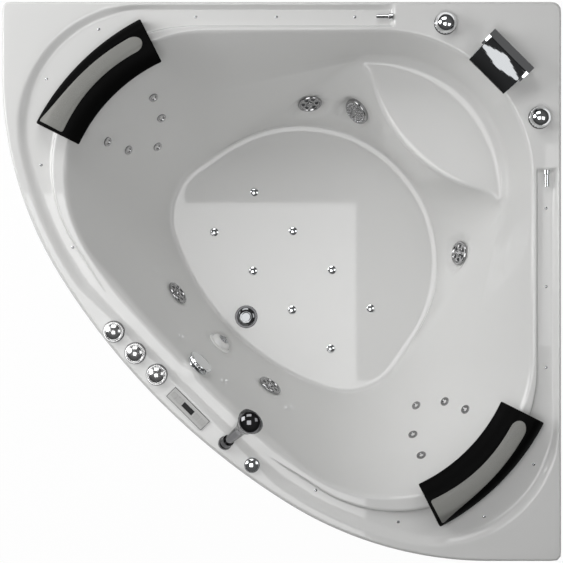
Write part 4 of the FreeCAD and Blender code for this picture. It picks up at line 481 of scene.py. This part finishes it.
# The ridge that runs down the riser from the seat's tip is smoothed out along the rows.
RIDGE_COLUMNS, RIDGE_PASSES = 26.0, 70
riser = slice(ROWS[0] - 2, ROWS[0] + ROWS[1] - 3)
ridge = np.exp(-((np.arange(len(marks)) - COLUMNS[0]) / RIDGE_COLUMNS) ** 2)
hold = 0.5 * (ridge[:, None] * np.sin(math.pi * packed(ROWS[1])[:-1]))[1:-1, :, None]
for number in range(RIDGE_PASSES):
    wall = basin_rows[:, riser]
    middle_way = (wall[2:] + wall[:-2]) / 2.0
    basin_rows[1:-1, riser] = wall[1:-1] + hold * (middle_way - wall[1:-1])

STRIP_SLOPE, MOUTH_SLOPE = 3.0, 6.0
inner_steps = np.linspace(-STRIP_SLOPE, STRIP_SLOPE, 5)
between = np.linspace(0.0, 1.0, 11)[1:-1]
RIM_ROUND, EDGE_ROOM, EDGE_SPREAD = 9.0, 2.0, 0.05
inner = strip_far[:, None] + inner_steps
shelf = lip_end[:, None] + (inner[:, :1] - lip_end[:, None]) * np.linspace(0.0, 1.0, 5)[:-1]
SLOPE_LEAST, SLOPE_MOST = 9.0, 16.0
slope = np.clip(0.5 * (rim_far - ledge_far), SLOPE_LEAST, SLOPE_MOST)[:, None]
outer_steps = np.linspace(-1.0, 1.0, 9) * slope
outer_most = rim_far[:, None] - RIM_ROUND - EDGE_ROOM + EDGE_SPREAD * outer_steps
outer = np.minimum(ledge_far[:, None] + outer_steps, outer_most)
flat = inner[:, -1:] + (outer[:, :1] - inner[:, -1:]) * between
strip = outer[:, -1:] + (rim_far[:, None] - RIM_ROUND - outer[:, -1:]) * np.linspace(0.0, 1.0, 7)[1:]
deck_far = np.concatenate([shelf, inner, flat, outer, strip], 1)
deck_plan = open_half[:, None] + deck_far[..., None] * open_way[:, None]
run = world(deck_plan)[..., 0]
drop = front[:, None] * FRONT_DROP
depth = drop + (LEDGE_DEPTH - 2.0 * drop) * soft_step((deck_far - strip_far[:, None]) / STRIP_SLOPE)
mask = soft_step((ledge_far[:, None] - deck_far) / slope) * soft_step((CHANNEL_MOUTH - run) / MOUTH_SLOPE)
deck_rows = np.concatenate([deck_plan, (RIM_Z - depth * mask)[..., None]], -1)

turn = np.linspace(0.0, math.pi / 2, 8)[1:]
LIP_LOW, SHEET = 575.0, 6.0
edge_out = np.concatenate([RIM_ROUND * (np.sin(turn) - 1.0),
                           [0.0, 0.0, 0.0, -1.0, -SHEET + 1.0, -SHEET, -SHEET]])
edge_down = np.concatenate([RIM_Z - RIM_ROUND * (1.0 - np.cos(turn)),
                            [605.0, 590.0, LIP_LOW + 1.0, LIP_LOW, LIP_LOW, LIP_LOW + 1.0, RIM_Z - SHEET]])
edge_plan = open_half[:, None] + (rim_far[:, None] + edge_out)[..., None] * open_way[:, None]
edge_rows = np.concatenate([edge_plan, np.broadcast_to(edge_down, edge_plan.shape[:2])[..., None]], -1)
half_shell = np.concatenate([basin_rows, deck_rows, edge_rows], 1)
other_half = half_shell[-2:0:-1] * np.array([1.0, -1.0, 1.0])
shell = world(np.concatenate([half_shell, other_half]).transpose(1, 0, 2))
print("shell grid", shell.shape)


# %% [markdown]
# ## Flat seats for the fittings
# A jet's flange is flat but the wall is curved, so the mould has a small flat boss at each
# fitting. Points near a fitting's axis are moved along that axis onto its plane, and the move
# fades out over a finger's width.


# %% Flat seats and the two skins of the sheet
def joint_place(name):
    """A joint's point in millimetres and its axis."""
    return np.array(joints[name]["pos_m"]) / MM, np.array(joints[name]["axis"], float)


FRONT_AXIS = joint_place("overflow_knob_turn")[1]
LIGHT_SPOT = np.array([-181.2908, -181.2908, 326.9753])
SUCTION_SPOT = np.array([225.1391, 503.6755, 266.6658])
SUCTION_AXIS = np.array([-0.697781, -0.538562, 0.472285])
JETS = {"front_left": "face_fl", "front_right": "face_fr", "back_left": "face_bl", "back_right": "face_br"}
JET_SEAT, LIGHT_SEAT, SUCTION_SEAT, OVERFLOW_SEAT = 38.0, 40.0, 43.0, 35.0
seats = [(*joint_place("jet_%s_turn" % place), JET_SEAT) for place in JETS]
seats += [(LIGHT_SPOT, FRONT_AXIS, LIGHT_SEAT), (SUCTION_SPOT, SUCTION_AXIS, SUCTION_SEAT),
          (*joint_place("overflow_knob_turn"), OVERFLOW_SEAT)]
SEAT_MARGIN, SEAT_FADE, SEAT_REACH = 9.0, 8.0, 45.0
for spot, axis, radius in seats:
    away = shell - spot
    lift = away @ axis
    from_axis = np.linalg.norm(away - lift[..., None] * axis, axis=-1)
    hold = (1.0 - soft_step((from_axis - radius - SEAT_MARGIN) / SEAT_FADE)) * (np.abs(lift) < SEAT_REACH)
    shell = shell - (hold * lift)[..., None] * axis
skin = wrapped(shell, "pole", "open", inward=True)
piece("shell_skin", skin, "acrylic", stands_for=["acrylic_shell"], crease=60.0)

edge_row = len(shell) - len(edge_down)
back = shell[:edge_row + 1:2, ::2]
along_rows = np.gradient(back, axis=0)
round_rows = np.roll(back, -1, 1) - np.roll(back, 1, 1)
normal = np.cross(along_rows, round_rows)
normal = normal / np.maximum(np.linalg.norm(normal, axis=-1, keepdims=True), 1e-9)
piece("shell_back", wrapped(back - SHEET * normal, "pole", "open"), "acrylic", crease=60.0)

# %% [markdown]
# ## Headrests
# Each headrest is moulded foam with a smooth black skin: a crowned bar bent round the end of the
# opening, with a grained grey panel let into its top. It isn't sewn cloth, so its form is worked
# out directly: a rounded section carried round an upright axis, drawn in a little at the middle
# of its sides, crowned along its length and rounded over at both ends.

# %% Headrests and their panels
REST_CENTRE = np.array([33.0, 170.0])
REST_TURN = math.radians(18.25)
REST_FOOT = [(618.0, -13.4), (636.0, -13.4), (639.4, -6.0), (639.2, 22.0)]
REST_TOP = (bowed((638.0, 24.0), (612.0, 45.2), 3.0, 6) + bowed((608.0, 45.6), (574.0, 43.5), 0.8, 5)
            + bowed((568.0, 41.5), (510.5, 15.0), 7.0, 9))
REST_UNDER = [(509.6, 8.0), (514.0, 0.8), (614.6, 0.8), (616.6, -6.0), (618.0, -13.4)]
section = rounded(REST_FOOT + REST_TOP + REST_UNDER, 3.0, 70)[:-1]
heart = np.array([576.0, 16.0])
END_ROLL, END_SHRINK, END_FULL, REST_CROWN, REST_RISE = 0.008, 0.05, 0.995, 1.2, 45.0
INNER_REACH, INNER_PULL, OUTER_REACH, OUTER_PULL = 66.0, 2.5, 63.0, 1.5
crest = section[np.argmax(section[:, 0]):np.argmin(section[:, 0]) + 1]


def on_rest(turn, radius, height, side):
    """A point of a headrest from its turn about the rest's axis, its radius and its height over the rim."""
    u = REST_CENTRE[0] - radius * np.sin(turn)
    v = side * (REST_CENTRE[1] + radius * np.cos(turn))
    return world(np.stack([u, v, RIM_Z + height], -1))


def headrest(side):
    """The section scaled to its heart by a quarter ellipse at both ends; a parabola crowns it lengthwise."""
    roll = END_ROLL * (1.0 + np.sin(np.linspace(-math.pi / 2, 0.0, 5)))
    even = np.linspace(-REST_TURN + END_ROLL, REST_TURN - END_ROLL, 60)[1:-1]
    turn = np.concatenate([-REST_TURN + roll, even, (REST_TURN - roll)[::-1]])
    over = np.clip((np.abs(turn) - REST_TURN + END_ROLL) / END_ROLL, 0.0, 1.0)
    scale = (1.0 - END_SHRINK * (1.0 - np.sqrt(1.0 - END_FULL * over ** 2)))[:, None]
    crown = (1.0 - (turn / REST_TURN) ** 2)[:, None]
    radius = heart[0] + (section[:, 0] - heart[0]) * scale
    height = heart[1] + (section[:, 1] - heart[1]) * scale
    inner_side = np.clip((heart[0] - section[:, 0]) / INNER_REACH, 0.0, 1.0)
    outer_side = np.clip((section[:, 0] - heart[0]) / OUTER_REACH, 0.0, 1.0)
    radius = radius + INNER_PULL * crown * inner_side ** 3 - OUTER_PULL * crown * outer_side ** 3
    height = height + REST_CROWN * crown * np.clip(section[:, 1] / REST_RISE, 0.0, 1.0)
    turns = np.broadcast_to(turn[:, None], radius.shape)
    return wrapped(on_rest(turns, radius, height, side), inward=side < 0)


INSET_START, INSET_ARC, INSET_TAIL, INSET_BLUNT = -16.0, 33.4, 0.085, 0.025
INSET_OUTER, INSET_WIDEN, INSET_FLARE = 603.0, 14.0, 17.0
INSET_INNER, INSET_BOW, INSET_SQUARE = 560.0, 6.0, 0.82
INSET_PUFF, INSET_SINK = 1.7, 2.0


def rest_panel(side):
    """A padded panel on the crest: wide and square at the front end, narrow and round at the wall end."""
    share = packed(64)
    turn = np.radians(INSET_START + INSET_ARC * share)
    wide = INSET_OUTER + INSET_WIDEN * share + INSET_FLARE * share ** 8
    narrow = INSET_INNER + INSET_BOW * np.sin(math.pi * share)
    tail = np.clip(share / INSET_TAIL, 0.0, 1.0)
    blunt = np.clip((1.0 - share) / INSET_BLUNT, 0.0, 1.0)
    square = INSET_SQUARE + (1.0 - INSET_SQUARE) * np.sqrt(1.0 - (1.0 - blunt) ** 2)
    swell = np.sqrt(1.0 - (1.0 - tail) ** 2) * square
    centre, reach = (wide + narrow) / 2.0, (wide - narrow) / 2.0 * np.maximum(swell, 0.03)
    q = np.linspace(0.0, 2.0 * math.pi, 40, endpoint=False)
    radius = centre[:, None] + reach[:, None] * np.cos(q)
    top = np.interp(radius, crest[::-1, 0], crest[::-1, 1])
    crown = REST_CROWN * (1.0 - (turn / REST_TURN) ** 2)[:, None]
    puff = np.where(np.sin(q) > 0, INSET_PUFF * np.abs(np.sin(q)) ** 0.55, -INSET_SINK)
    height = top + crown + puff * np.maximum(swell, 0.2)[:, None]
    points = on_rest(np.broadcast_to(turn[:, None], radius.shape), radius, height, side)
    return wrapped(points, inward=side > 0)


for side, name in ((1, "headrest_left"), (-1, "headrest_right")):
    foam = piece(name + "_foam", headrest(side), "pillow", stands_for=[name], crease=70.0)
    panel = piece(name + "_panel", rest_panel(side), "pillow_inset", stands_for=[name + "_inset"],
                  crease=70.0)

# %% [markdown]
# ## Turned chrome
# Taps, knobs, plug, button and injectors are lathe work: one profile carried round an axis. The
# real ones have broken edges that catch the light, so every profile corner is rounded. Grips get
# shallow flutes.

# %% Taps, deck knobs, button, plug and overflow
tap = turned([(0.0, -14.0), (8.0, -14.0), (8.0, 4.4), (27.5, 4.4), (29.4, 6.5)]
             + bowed((29.4, 17.0), (0.05, 40.2), 6.0), flutes=20, flute=0.7, band=(7.0, 16.5), sides=160)
for name, body in (("hot_tap_knob", "hot_knob"), ("cold_tap_knob", "cold_knob")):
    spot = joint_place(name.replace("knob", "turn"))[0]
    piece(name + "_dome", placed(tap, spot), "chrome", body, [name])
knob = turned([(0.0, -14.0), (8.0, -14.0), (8.0, 3.9), (26.6, 3.9), (27.4, 5.0), (27.4, 17.6), (25.6, 20.4),
               (22.6, 19.8)] + bowed((21.6, 18.9), (0.05, 27.6), 2.0),
              flutes=28, flute=0.8, band=(5.2, 17.0), sides=224)
for name, body, turn_name in (("air_knob_left", "air_left", "air_left_turn"),
                              ("air_knob_right", "air_right", "air_right_turn"),
                              ("diverter_knob", "diverter", "diverter_turn")):
    spot = joint_place(turn_name)[0]
    piece(name + "_dome", placed(knob, spot), "chrome", body, [name], look="knob_chrome")
button_spot = np.append(np.mean(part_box("push_button"), axis=0)[:2] / MM, RIM_Z)
button = turned([(0.0, -22.0), (10.9, -22.0), (10.9, 7.0), (17.6, 7.0), (18.4, 8.0)]
                + bowed((18.4, 9.3), (0.05, 15.2), 1.5))
piece("push_button_cap", placed(button, button_spot), "chrome", "button", ["push_button"])
sleeve = turned([(0.0, -46.0), (15.0, -46.0), (15.0, -0.1), (20.4, 0.0), (21.0, 0.8), (20.2, 2.4),
                 (12.2, 2.5), (11.3, 1.6), (11.3, -28.0), (0.0, -28.0)], 0.4)
# The sleeve's chrome is darkened: painted dark reflection.
piece("push_button_sleeve", placed(sleeve, button_spot), "chrome", stands_for=["button_sleeve"],
      look="ring_painted_dark_reflection")
drain_spot = np.append(np.mean(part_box("drain_plug"), axis=0)[:2] / MM, FLOOR_Z)
plug = turned([(0.0, -40.0), (5.0, -40.0), (5.0, 2.9), (26.0, 2.9), (28.4, 4.2)]
              + bowed((28.4, 5.8), (14.0, 10.8), 1.2, 8) + bowed((12.6, 11.1), (0.05, 11.7), 0.05, 6))
# The plug's chrome is darkened: painted dark reflection.
piece("drain_plug_dome", placed(plug, drain_spot), "chrome", "plug", ["drain_plug"], look="hood_painted_dark_reflection")
overflow_spot, overflow_axis = joint_place("overflow_knob_turn")
overflow = turned([(0.0, -26.0), (5.0, -26.0), (5.0, 9.0), (35.0, 9.1), (37.3, 11.0), (37.3, 17.0),
                   (35.4, 19.6), (32.0, 20.0), (30.5, 19.2), (28.0, 19.4), (0.05, 21.6)], 0.9,
                  flutes=24, flute=0.9, band=(11.5, 17.0), sides=192)
piece("overflow_knob_cap", placed(overflow, overflow_spot, overflow_axis), "chrome", "overflow_turn",
      ["overflow_knob"])

# %% [markdown]
# ## Jets, light and suction
# A large jet is a chrome ring round an eyeball with six ports, and a dark disc just under its face
# shows through where the ports sink: painted shade for the dark inside of the ports. The underwater
# light is a white dome with a fluted bright tip.
# The suction cover is a pierced dome; real holes would cost many faces, so its rings of holes are
# deep dimples in the surface.

# %% Large jets, small jets and injectors
PORTS, PORT_PITCH, PORT_HALF, PORT_DEPTH, FACE_LEVEL = 6.0, 20.0, 5.2, 2.6, 5.0


def jet_face():
    """A ring, a sunk face with six petal ports and a boss: one profile, its sunk band waved by the turn."""
    profile = rounded([(5.6, -18.0), (13.9, -18.0), (13.9, 2.9), (35.0, 2.9), (35.9, 4.0), (35.6, 6.4),
                       (33.6, 8.9), (29.6, 8.8), (27.6, 5.9), (14.0, 5.8), (10.6, 6.2), (9.8, 10.0),
                       (8.6, 10.8), (6.4, 10.6), (5.6, 8.6)], 0.7, 90)
    angle = np.linspace(0.0, 2.0 * math.pi, 144, endpoint=False)
    radius = np.broadcast_to(profile[:, :1], (len(profile), len(angle)))
    sunk = np.exp(-((profile[:, :1] - PORT_PITCH) / PORT_HALF) ** 4) * (profile[:, 1:] > FACE_LEVEL)
    port = np.clip(1.7 * np.cos(PORTS * angle), -1.0, 1.0) * 0.5 + 0.5
    height = profile[:, 1:] - PORT_DEPTH * sunk * port
    return wrapped(np.stack([radius * np.cos(angle), radius * np.sin(angle), height], -1), "cap", "cap")


face = jet_face()
# A dark disc under the jet face: painted shade seen through the sunk ports.
ports = turned([(0.0, 3.4), (26.4, 3.4), (26.4, 4.7), (0.0, 4.7)], 0.2)
for place, body in JETS.items():
    spot, axis = joint_place("jet_%s_turn" % place)
    # The eye's chrome is darkened: painted shade and dark reflection.
    piece("jet_%s_eye" % place, placed(face, spot, axis), "chrome", body, ["jet_face_" + place],
          look="jet_painted_shade")
    # The dark disc is painted shade in the ports.
    piece("jet_%s_ports" % place, placed(ports, spot, axis), "dark_plastic", body)
INJECTOR_U, INJECTOR_V = (-38.0, 132.0), (248.0, 83.0, -83.0, -248.0)
injector_plan = np.array([(u, v, FLOOR_Z) for u in INJECTOR_U for v in INJECTOR_V])
injector = turned([(0.0, -20.0), (6.0, -20.0), (6.0, 0.0), (12.4, 0.1), (12.9, 0.9)]
                  + bowed((12.8, 1.4), (0.05, 4.9), 0.8), 0.4, 48)
piece("floor_injectors", together([placed(injector, spot) for spot in world(injector_plan)]), "chrome",
      stands_for=["air_injectors"])

# %% Underwater light and suction cover
housing = turned([(0.0, -34.0), (20.0, -34.0), (20.0, 0.0), (37.4, 0.1), (37.6, 2.0), (36.0, 4.0),
                  (32.0, 5.0)] + bowed((30.6, 6.0), (17.0, 19.4), 4.0, 10) + [(16.2, 19.0), (0.05, 19.0)])
piece("light_housing_dome", placed(housing, LIGHT_SPOT, FRONT_AXIS), "white_plastic",
      stands_for=["light_housing"])
lens = turned([(0.0, 19.2), (15.6, 19.2)] + bowed((15.6, 20.6), (0.05, 27.5), 1.8), flutes=9, flute=2.0,
              band=(20.0, 27.0), sides=144)
piece("light_lens_dome", placed(lens, LIGHT_SPOT, FRONT_AXIS), "lens_glass", stands_for=["light_lens"])
DIMPLE_RINGS = ((14.0, 8), (22.0, 14), (30.0, 20))
DIMPLE, DIMPLE_EDGE, DIMPLE_DEPTH, COVER_TOP = 2.9, 0.8, 3.0, 12.0


def pierced_cover():
    """A domed cover sunk in three rings of round dimples, each a soft step of the way from its middle."""
    profile = rounded([(0.05, 9.8), (33.0, 9.8), (37.9, 5.0), (37.9, 0.4), (40.9, 0.4)]
                      + bowed((40.9, 7.0), (35.0, 12.8), 1.8, 6) + [(0.05, 13.0)], 0.6, 120)
    angle = np.linspace(0.0, 2.0 * math.pi, 240, endpoint=False)
    radius = np.broadcast_to(profile[:, :1], (len(profile), len(angle)))
    sink = np.zeros_like(radius)
    for pitch, count in DIMPLE_RINGS:
        round_way = (np.mod(angle * count / (2.0 * math.pi) + 0.5, 1.0) - 0.5) * 2.0 * math.pi * pitch / count
        away = np.hypot(radius - pitch, round_way)
        sink = np.maximum(sink, 1.0 - soft_step((away - DIMPLE) / DIMPLE_EDGE))
    height = profile[:, 1:] - DIMPLE_DEPTH * sink * (profile[:, 1:] > COVER_TOP)
    return wrapped(np.stack([radius * np.cos(angle), radius * np.sin(angle), height], -1))


# The cover's chrome is darkened: painted shade and dark reflection.
piece("suction_grille", placed(pierced_cover(), SUCTION_SPOT, SUCTION_AXIS), "chrome",
      stands_for=["suction_cover"], look="jet_painted_shade")

# %% [markdown]
# ## Painted shade line round the panel
# A thin dark frame runs round the control panel as painted shadow along its edge and draws a line
# between it and the deck: two long bars with two short ones between them.

# %% Painted shade line round the panel
PANEL_SPOT, PANEL_WIDE, PANEL_LONG, SHADE_LINE_WIDE = np.array([-426.0, -65.0]), 16.5, 65.0, 1.4
SHADE_LINE_LEVELS = (RIM_Z + 0.4, RIM_Z + 4.2)


def bar(low, high):
    """A box between two corners of the plan and the painted shade line's two levels."""
    plan = PANEL_SPOT + low + np.array([(0.0, 0.0), (1.0, 0.0), (1.0, 1.0), (0.0, 1.0)]) * (high - low)
    return wrapped(np.stack([raised_to(plan, level) for level in SHADE_LINE_LEVELS]), "cap", "cap")


long_bar = np.array([(PANEL_WIDE, -PANEL_LONG - SHADE_LINE_WIDE), (PANEL_WIDE + SHADE_LINE_WIDE, PANEL_LONG + SHADE_LINE_WIDE)])
short_bar = np.array([(-PANEL_WIDE, PANEL_LONG), (PANEL_WIDE, PANEL_LONG + SHADE_LINE_WIDE)])
spots, faces = together([bar(*long_bar), bar(*-long_bar[::-1]), bar(*short_bar), bar(*-short_bar[::-1])])
# A dark frame round the panel: painted shadow along the panel's edge.
piece("panel_painted_shade_line", (world(spots), faces), "dark_plastic")

# %% [markdown]
# ## Hand shower
# The handset is one chromed casting: a slim handle that swells into a ball with a flat spray
# face. A profile is carried round the handle's axis, and what would stand past the spray face is
# pressed onto its plane.

# %% Hand shower
shower_axis = np.array(joints["handset_lift"]["axis"], float)
FOOT = np.array([-153.318, -440.4034, 637.918])
SPRAY_WAY = np.array([0.572061, 0.572061, -0.587785])
SPRAY_FACE, HEAD_START = 10.6, 128.0
handle = turned([(0.0, 0.1), (11.0, 0.1), (11.9, 1.0), (11.9, 31.0), (13.4, 60.0), (16.0, 106.0),
                 (20.5, 128.0)] + bowed((26.0, 142.0), (36.2, 172.0), -2.0, 6)
                + bowed((36.2, 174.0), (0.05, 205.8), 9.0), 4.0, 96, 60)
press = handle[0]
head = press[:, 2] > HEAD_START
press[:, 0] = np.where(head, np.minimum(press[:, 0], SPRAY_FACE), press[:, 0])
# The handset's chrome is darkened: painted dark reflection.
piece("shower_handset", placed(handle, FOOT, shower_axis, SPRAY_WAY), "chrome", "handset", ["hand_shower"],
      look="handset_painted_dark_reflection")

# %% [markdown]
# ## Waterfall spout
# The spout is a bent chrome hood over a flat throat. Its section is drawn once and carried across
# its width. Near both sides the section is pulled in along its own normals, which rounds the edge.
# The hood then bulges a little sideways and falls off towards its sides, so it mirrors a spot of
# light instead of an even band.


# %% Spout hood
def carried(section, stations, pull, lift):
    """A closed section lifted and carried through stations along Y, each pulled in along its normals."""
    tangent = np.roll(section, -1, 0) - np.roll(section, 1, 0)
    normal = np.stack([tangent[:, 1], -tangent[:, 0]], -1)
    normal = normal / np.linalg.norm(normal, axis=1, keepdims=True)
    plan = section[None] - pull[:, None, None] * normal[None]
    y = np.broadcast_to(stations[:, None, None], plan.shape[:2] + (1,))
    return np.concatenate([plan[..., :1], y, plan[..., 1:] + lift], -1)


SPOUT_HALF, HOOD_ROLL, HOOD_CROWN = 66.0, 1.6, 5.0
HOOD_BACK, HOOD_DEEP, HOOD_BULGE, HOOD_FOOT, HOOD_RISE = 868.0, 82.0, 0.035, 8.0, 40.0
hood_outside = [(857.0, 6.4), (867.0, 6.4), (HOOD_BACK, 30.0), (867.6, 61.0)]
hood_outside += bowed((864.0, 63.6), (788.0, 27.0), 7.0, 16) + [(786.4, 24.0), (788.0, 21.2)]
hood_inside = bowed((790.0, 22.0), (854.0, 53.0), -5.5, 12) + [(856.6, 48.0), (857.0, 6.4)]
hood_section = rounded(hood_outside + hood_inside, 1.2, 60)[:-1]
roll = HOOD_ROLL * np.sin(np.linspace(0.0, math.pi / 2, 5))
even = np.linspace(-SPOUT_HALF + HOOD_ROLL, SPOUT_HALF - HOOD_ROLL, 24)[1:-1]
stations = np.concatenate([-SPOUT_HALF + roll, even, (SPOUT_HALF - roll)[::-1]])
past = np.clip((np.abs(stations) - SPOUT_HALF + HOOD_ROLL) / HOOD_ROLL, 0.0, 1.0)
hood = carried(hood_section, stations, HOOD_ROLL * (1.0 - np.sqrt(1.0 - past ** 2)), RIM_Z)
bulge = 1.0 + HOOD_BULGE * np.sin(np.clip((HOOD_BACK - hood[..., 0]) / HOOD_DEEP, 0.0, 1.0) * math.pi)
upper = np.clip((hood[..., 2] - RIM_Z - HOOD_FOOT) / HOOD_RISE, 0.0, 1.0)
hood[..., 2] -= HOOD_CROWN * (hood[..., 1] / SPOUT_HALF) ** 2 * upper
hood[..., 1] = hood[..., 1] * bulge
spots, faces = wrapped(hood, "cap", "cap")
# The hood's chrome is darkened: painted dark reflection.
piece("spout_hood_sheet", (world(spots), faces), "chrome", stands_for=["spout_hood"], look="hood_painted_dark_reflection")

# %% [markdown]
# ## Camera, lights and floor
# The photograph looks straight down from far above, so the camera does too. Big soft lamps at the
# left and behind make the lower right walls bright and leave the upper left ones grey. A square
# overhead lamp shows as a pale rectangle in the glossy floor, and a small one at the right lifts the
# rim and the seat there. The ground below shows white to the camera and in the chrome, but lights the
# bath only as pale paint would.

# %% Camera
EYE = 4.5
PICTURE_SIDE, MM_PER_PIXEL = 563.0, 2.732
FRAME_SIDE = PICTURE_SIDE * MM_PER_PIXEL * MM
camera_data = bpy.data.cameras.new("above")
camera_data.angle = 2.0 * math.atan(FRAME_SIDE / 2.0 / EYE)
camera = bpy.data.objects.new("above", camera_data)
camera.location = (0.0, 0.0, RIM_Z * MM + EYE)
bpy.context.scene.collection.objects.link(camera)
bpy.context.scene.camera = camera


# %% Lights, world and floor
def lamp(name, spot, target, size, power, tall=None):
    """A soft rectangular lamp at a spot, aimed at a target."""
    data = bpy.data.lights.new(name, "AREA")
    data.shape = "RECTANGLE"
    data.size = size
    data.size_y = tall or size
    data.energy = power
    made = bpy.data.objects.new(name, data)
    rows = axes(np.asarray(spot, float) - np.asarray(target, float), (1.0, 0.0, 0.0))
    made.matrix_world = mathutils.Matrix.Translation(spot) @ mathutils.Matrix(rows.T.tolist()).to_4x4()
    bpy.context.scene.collection.objects.link(made)
    return made


lamp("left_softbox", (-2.6, 0.9, 1.9), (0.25, -0.1, 0.45), 1.6, 44.0)
lamp("back_softbox", (-0.5, 2.4, 2.3), (-0.1, -0.5, 0.45), 2.0, 22.0, 1.2)
lamp("overhead_softbox", (-0.52, -0.5, 3.6), (-0.52, -0.5, 0.0), 1.8, 34.0)
lamp("right_softbox", (1.2, 0.1, 1.6), (0.5, -0.05, 0.45), 0.7, 2.8)

sky = bpy.data.worlds.new("studio")
sky.use_nodes = True
bpy.context.scene.world = sky
sky_nodes, sky_links = sky.node_tree.nodes, sky.node_tree.links
shade = sky_nodes["Background"]
shade.inputs["Strength"].default_value = 1.0
facing = sky_nodes.new("ShaderNodeTexCoord")
parts = sky_nodes.new("ShaderNodeSeparateXYZ")
ramp = sky_nodes.new("ShaderNodeValToRGB")
SKY = ((0.0, 0.05), (0.30, 0.06), (0.62, 0.095), (1.0, 0.11))
for number, (height, level) in enumerate(SKY):
    stop = ramp.color_ramp.elements[number] if number < 2 else ramp.color_ramp.elements.new(height)
    stop.position = height
    stop.color = (level, level, level * 1.01, 1.0)
sky_links.new(facing.outputs["Generated"], parts.inputs["Vector"])
sky_links.new(parts.outputs["Z"], ramp.inputs["Fac"])
sky_links.new(ramp.outputs["Color"], shade.inputs["Color"])

FLOOR_REACH, FLOOR_LEVEL, FLOOR_WHITE = 7.0, -0.5 * MM, 0.97
FLOOR_CORNERS = ((-1, -1), (1, -1), (1, 1), (-1, 1))
floor_points = [(x * FLOOR_REACH, y * FLOOR_REACH, FLOOR_LEVEL) for x, y in FLOOR_CORNERS]
floor_mesh = bpy.data.meshes.new("floor")
floor_mesh.from_pydata(floor_points, [], [(0, 1, 2, 3)])
floor_paint = bpy.data.materials.new("pale_floor")
floor_paint.use_nodes = True
paint_nodes, paint_links = floor_paint.node_tree.nodes, floor_paint.node_tree.links
paint = paint_nodes["Principled BSDF"]
paint.inputs["Base Color"].default_value = (0.9, 0.9, 0.9, 1.0)
paint.inputs["Roughness"].default_value = 0.9
white = paint_nodes.new("ShaderNodeEmission")
blend = paint_nodes.new("ShaderNodeMixShader")
seen = paint_nodes.new("ShaderNodeLightPath")
either = paint_nodes.new("ShaderNodeMath")
either.operation = "MAXIMUM"
whitened = paint_nodes.new("ShaderNodeMath")
whitened.operation = "MULTIPLY"
whitened.inputs[1].default_value = FLOOR_WHITE
paint_links.new(seen.outputs["Is Camera Ray"], either.inputs[0])
paint_links.new(seen.outputs["Is Glossy Ray"], either.inputs[1])
through = paint_nodes.new("ShaderNodeMath")
through.operation = "MAXIMUM"
paint_links.new(either.outputs[0], through.inputs[0])
paint_links.new(seen.outputs["Is Transmission Ray"], through.inputs[1])
paint_links.new(through.outputs[0], whitened.inputs[0])
paint_links.new(whitened.outputs[0], blend.inputs["Fac"])
paint_links.new(paint.outputs["BSDF"], blend.inputs[1])
paint_links.new(white.outputs["Emission"], blend.inputs[2])
paint_links.new(blend.outputs["Shader"], paint_nodes["Material Output"].inputs["Surface"])
floor_mesh.materials.append(floor_paint)
floor = bpy.data.objects.new("floor", floor_mesh)
bpy.context.scene.collection.objects.link(floor)
bpy.context.scene.view_settings.view_transform = "Standard"
